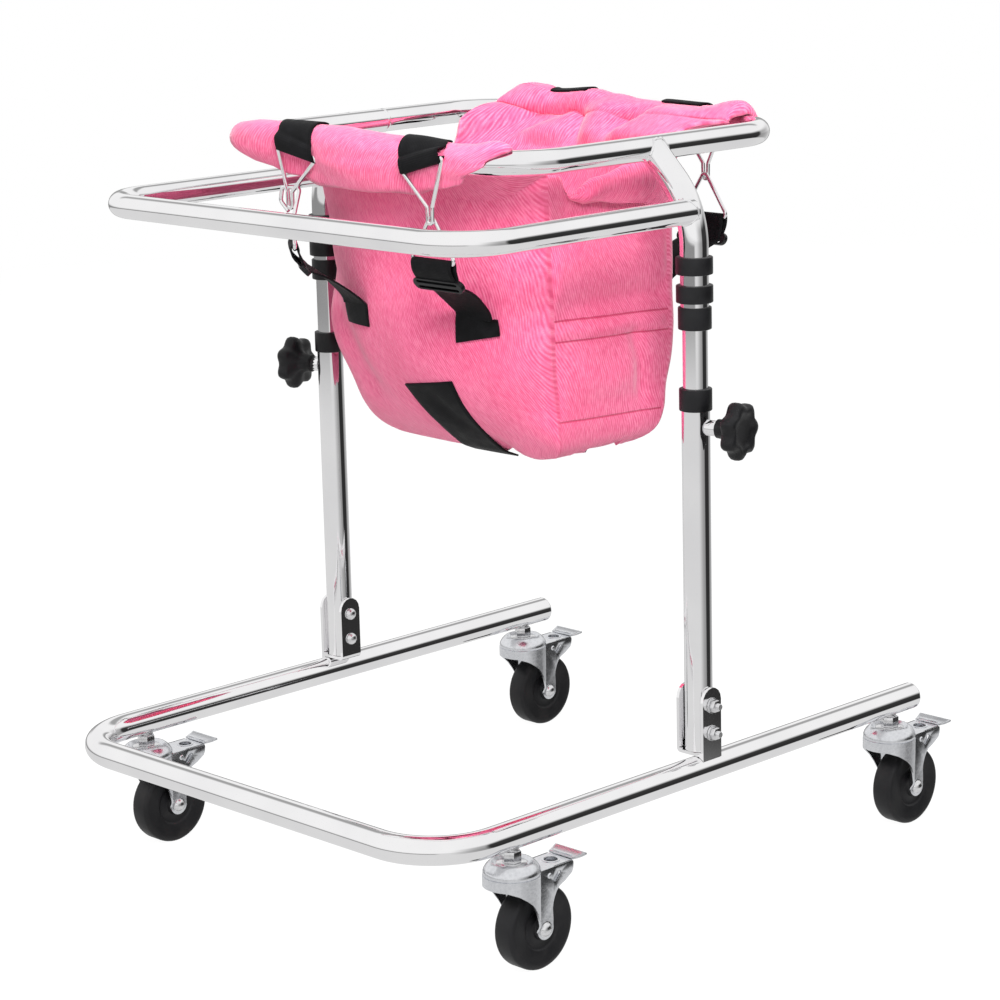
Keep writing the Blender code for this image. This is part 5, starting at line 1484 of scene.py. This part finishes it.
for name, (end, _, x, tilt, neck, ring_x, _, turn, _) in HOOKS.items():
    out_y, neck_y = BAR_Y[end] + end * HEM_OUT, BAR_Y[end] + end * 0.0135
    corners = [(neck + aside * MM, neck_y, RING_Z - drop * MM) for aside, drop in NECK]
    corners += [(x + half, out_y, RING_Z - HEM_DROP + tilt * half) for half in (0.0262, -0.0262)]
    hook = sweep(corners, WIRE, 0.0024, sides=12, steps=6, closed=True)
    add(f"hook_{name}", hook, CHROME, f"snap_hook_{name}", slot="bright_steel")
    swing = swung(ring_x, end, turn)
    if name == "front_left":
        outline = [
            (-0.005, RING_Z - 0.0565), (-0.015, RING_Z - 0.048), (-0.012, RING_Z - 0.035),
            (0.012, RING_Z - 0.0345), (0.02, RING_Z - 0.06), (0.0285, RING_BAR_Z),
            (-0.0285, RING_BAR_Z), (-0.02, RING_BAR_Z + 0.009),
        ]
        straight = Matrix.Translation((neck, BAR_Y[end] + end * 0.012, 0))
        corners = [(straight if z > RING_Z - 0.058 else swing) @ Vector((a, 0, z)) for a, z in outline]
        wire_ring = sweep(corners, WIRE, 0.0045, sides=12, steps=8, caps=True)
    else:
        outline = [(0, RING_Z - 0.0448), (0.0285, RING_BAR_Z), (-0.0285, RING_BAR_Z)]
        corners = [swing @ Vector((a, 0, z)) for a, z in outline]
        wire_ring = sweep(corners, WIRE, 0.004, sides=12, steps=8, closed=True)
    add(f"ring_{name}", wire_ring, CHROME, f"strap_ring_{name}", slot="bright_steel")
print("ring bars at Z", round(RING_BAR_Z, 4))

# %% Lower straps and sliders


def panel_y(x, height, end):
    """The bag's outer Y at this X and height, in metres and millimetres."""
    taper, front_seam, front_middle, rear_seam, rear_middle = bag_row(height)
    seam, middle = (front_seam, front_middle) if end < 0 else (rear_seam, rear_middle)
    across = max(-1.0, min(1.0, x / (SLING_HALF - taper * MM)))
    y = (seam + (middle - seam) * math.sqrt(1 - across * across)) * MM
    share = math.asin(across) / math.pi + 0.5
    part, share = (0, share) if end < 0 else (2, 1 - share)
    return soften(Vector((x, y, FLOOR_Z + height * MM)), part, share, height).y


for name, (end, _, _, _, _, x, patch_x, turn, lean) in HOOKS.items():
    swing = swung(x, end, turn)

    def hung(out, z):
        """A point of the strap's middle, this far outwards of the ring's bar."""
        return swing @ Vector((0, end * out, z))

    low_out = -19 * MM * math.tan(lean * 0.55)
    route = [hung(low_out - 0.0022, SLIDER_Z - 0.002), hung(-0.0034, RING_BAR_Z - 0.006)]
    for turned in (math.pi, 2.2, math.pi / 2, 0.8, 0):
        route.append(hung(0.0036 * math.cos(turned), RING_BAR_Z + 0.0036 * math.sin(turned)))
    leave = hung(low_out - 0.0035, SLIDER_Z - 0.0015)
    route += [hung(0.0024, RING_BAR_Z - 0.008), hung(low_out + 0.001, SLIDER_Z + 0.0015), leave]
    for share, height in ((0.34, 166.5), (0.64, 155.5), (0.9, 145.0)):
        point = leave.lerp(Vector((patch_x, panel_y(patch_x, 140, end) + end * 0.002, 0)), share)
        route.append(Vector((point.x, point.y, FLOOR_Z + height * MM)))
    for height in (137, 131, 124, 118):
        y = panel_y(patch_x, height, end) + end * 0.0004
        route.append(Vector((patch_x, y, FLOOR_Z + height * MM)))

    def slant(v):
        """The strap's direction across: turned with the ring above, along X on the bag."""
        ease = clamp((v - 0.55) / 0.3)
        angle = math.radians(turn) * (1 - ease)
        return math.cos(angle), math.sin(angle), (0.16 if name == "front_right" else 0.0) * ease

    strap = ribbon(route, slant, STRAP_WIDTH)
    for vert in strap.verts:
        height = (vert.co.z - FLOOR_Z) / MM
        if height < 160:
            vert.co.x = patch_x + (vert.co.x - patch_x) * (1 - 0.2 * min(1.0, (160 - height) / 20))
            surface = panel_y(vert.co.x, height, end) + end * 0.0016
            if (surface - vert.co.y) * end > 0 or height < 136:
                vert.co.y = surface
    node = f"lower_strap_{name}"
    add(f"lower_strap_band_{name}", strap, WEBBING, node, wall=1.6, inwards=0, smooth=60)
    windows = [slotted(23.5, 1.3, 4, height) for height in (2.9, -2.9)]
    slider = pressing(slotted(24, 6.0, 10), 4.6, windows)
    upright = Matrix.Rotation(-end * lean, 4, "X") @ Matrix.Rotation(math.pi / 2, 4, "X")
    moved(slider, swing @ Matrix.Translation((0, end * low_out, SLIDER_Z)) @ upright)
    add(f"slider_{name}", slider, GLOSSY_PLASTIC, rounding=1.3, smooth=35)
print("sliders at Z", round(SLIDER_Z, 4))

# %% [markdown]
# The crotch strap is sewn to the lower front of the bag and runs down and under it between the
# leg holes. It is laid as a grid in the panel's own X and height, then set on the surface.

# %% Crotch strap


def crotch_place(u, v):
    left = -16.5 + 12.5 * min(1.0, v / 0.6)
    right = 48.0 + 3.0 * v
    x = (left + (right - left) * u) * MM
    height = (66 + 10 * u) * (1 - v)
    point = Vector((x, panel_y(x, height, -1) - 0.0012, FLOOR_Z + height * MM))
    if v > 0.96:
        point += Vector((0, 0.01, -0.0035)) * ((v - 0.96) / 0.04)
    return point


crotch = cloth_grid(14, 34, crotch_place, lambda u, v: (u * 0.052, v * 0.09))
bmesh.ops.recalc_face_normals(crotch, faces=crotch.faces)
print("crotch strap faces:", len(crotch.faces))
add("crotch_strap", crotch, WEBBING, wall=1.6, inwards=0, smooth=60)
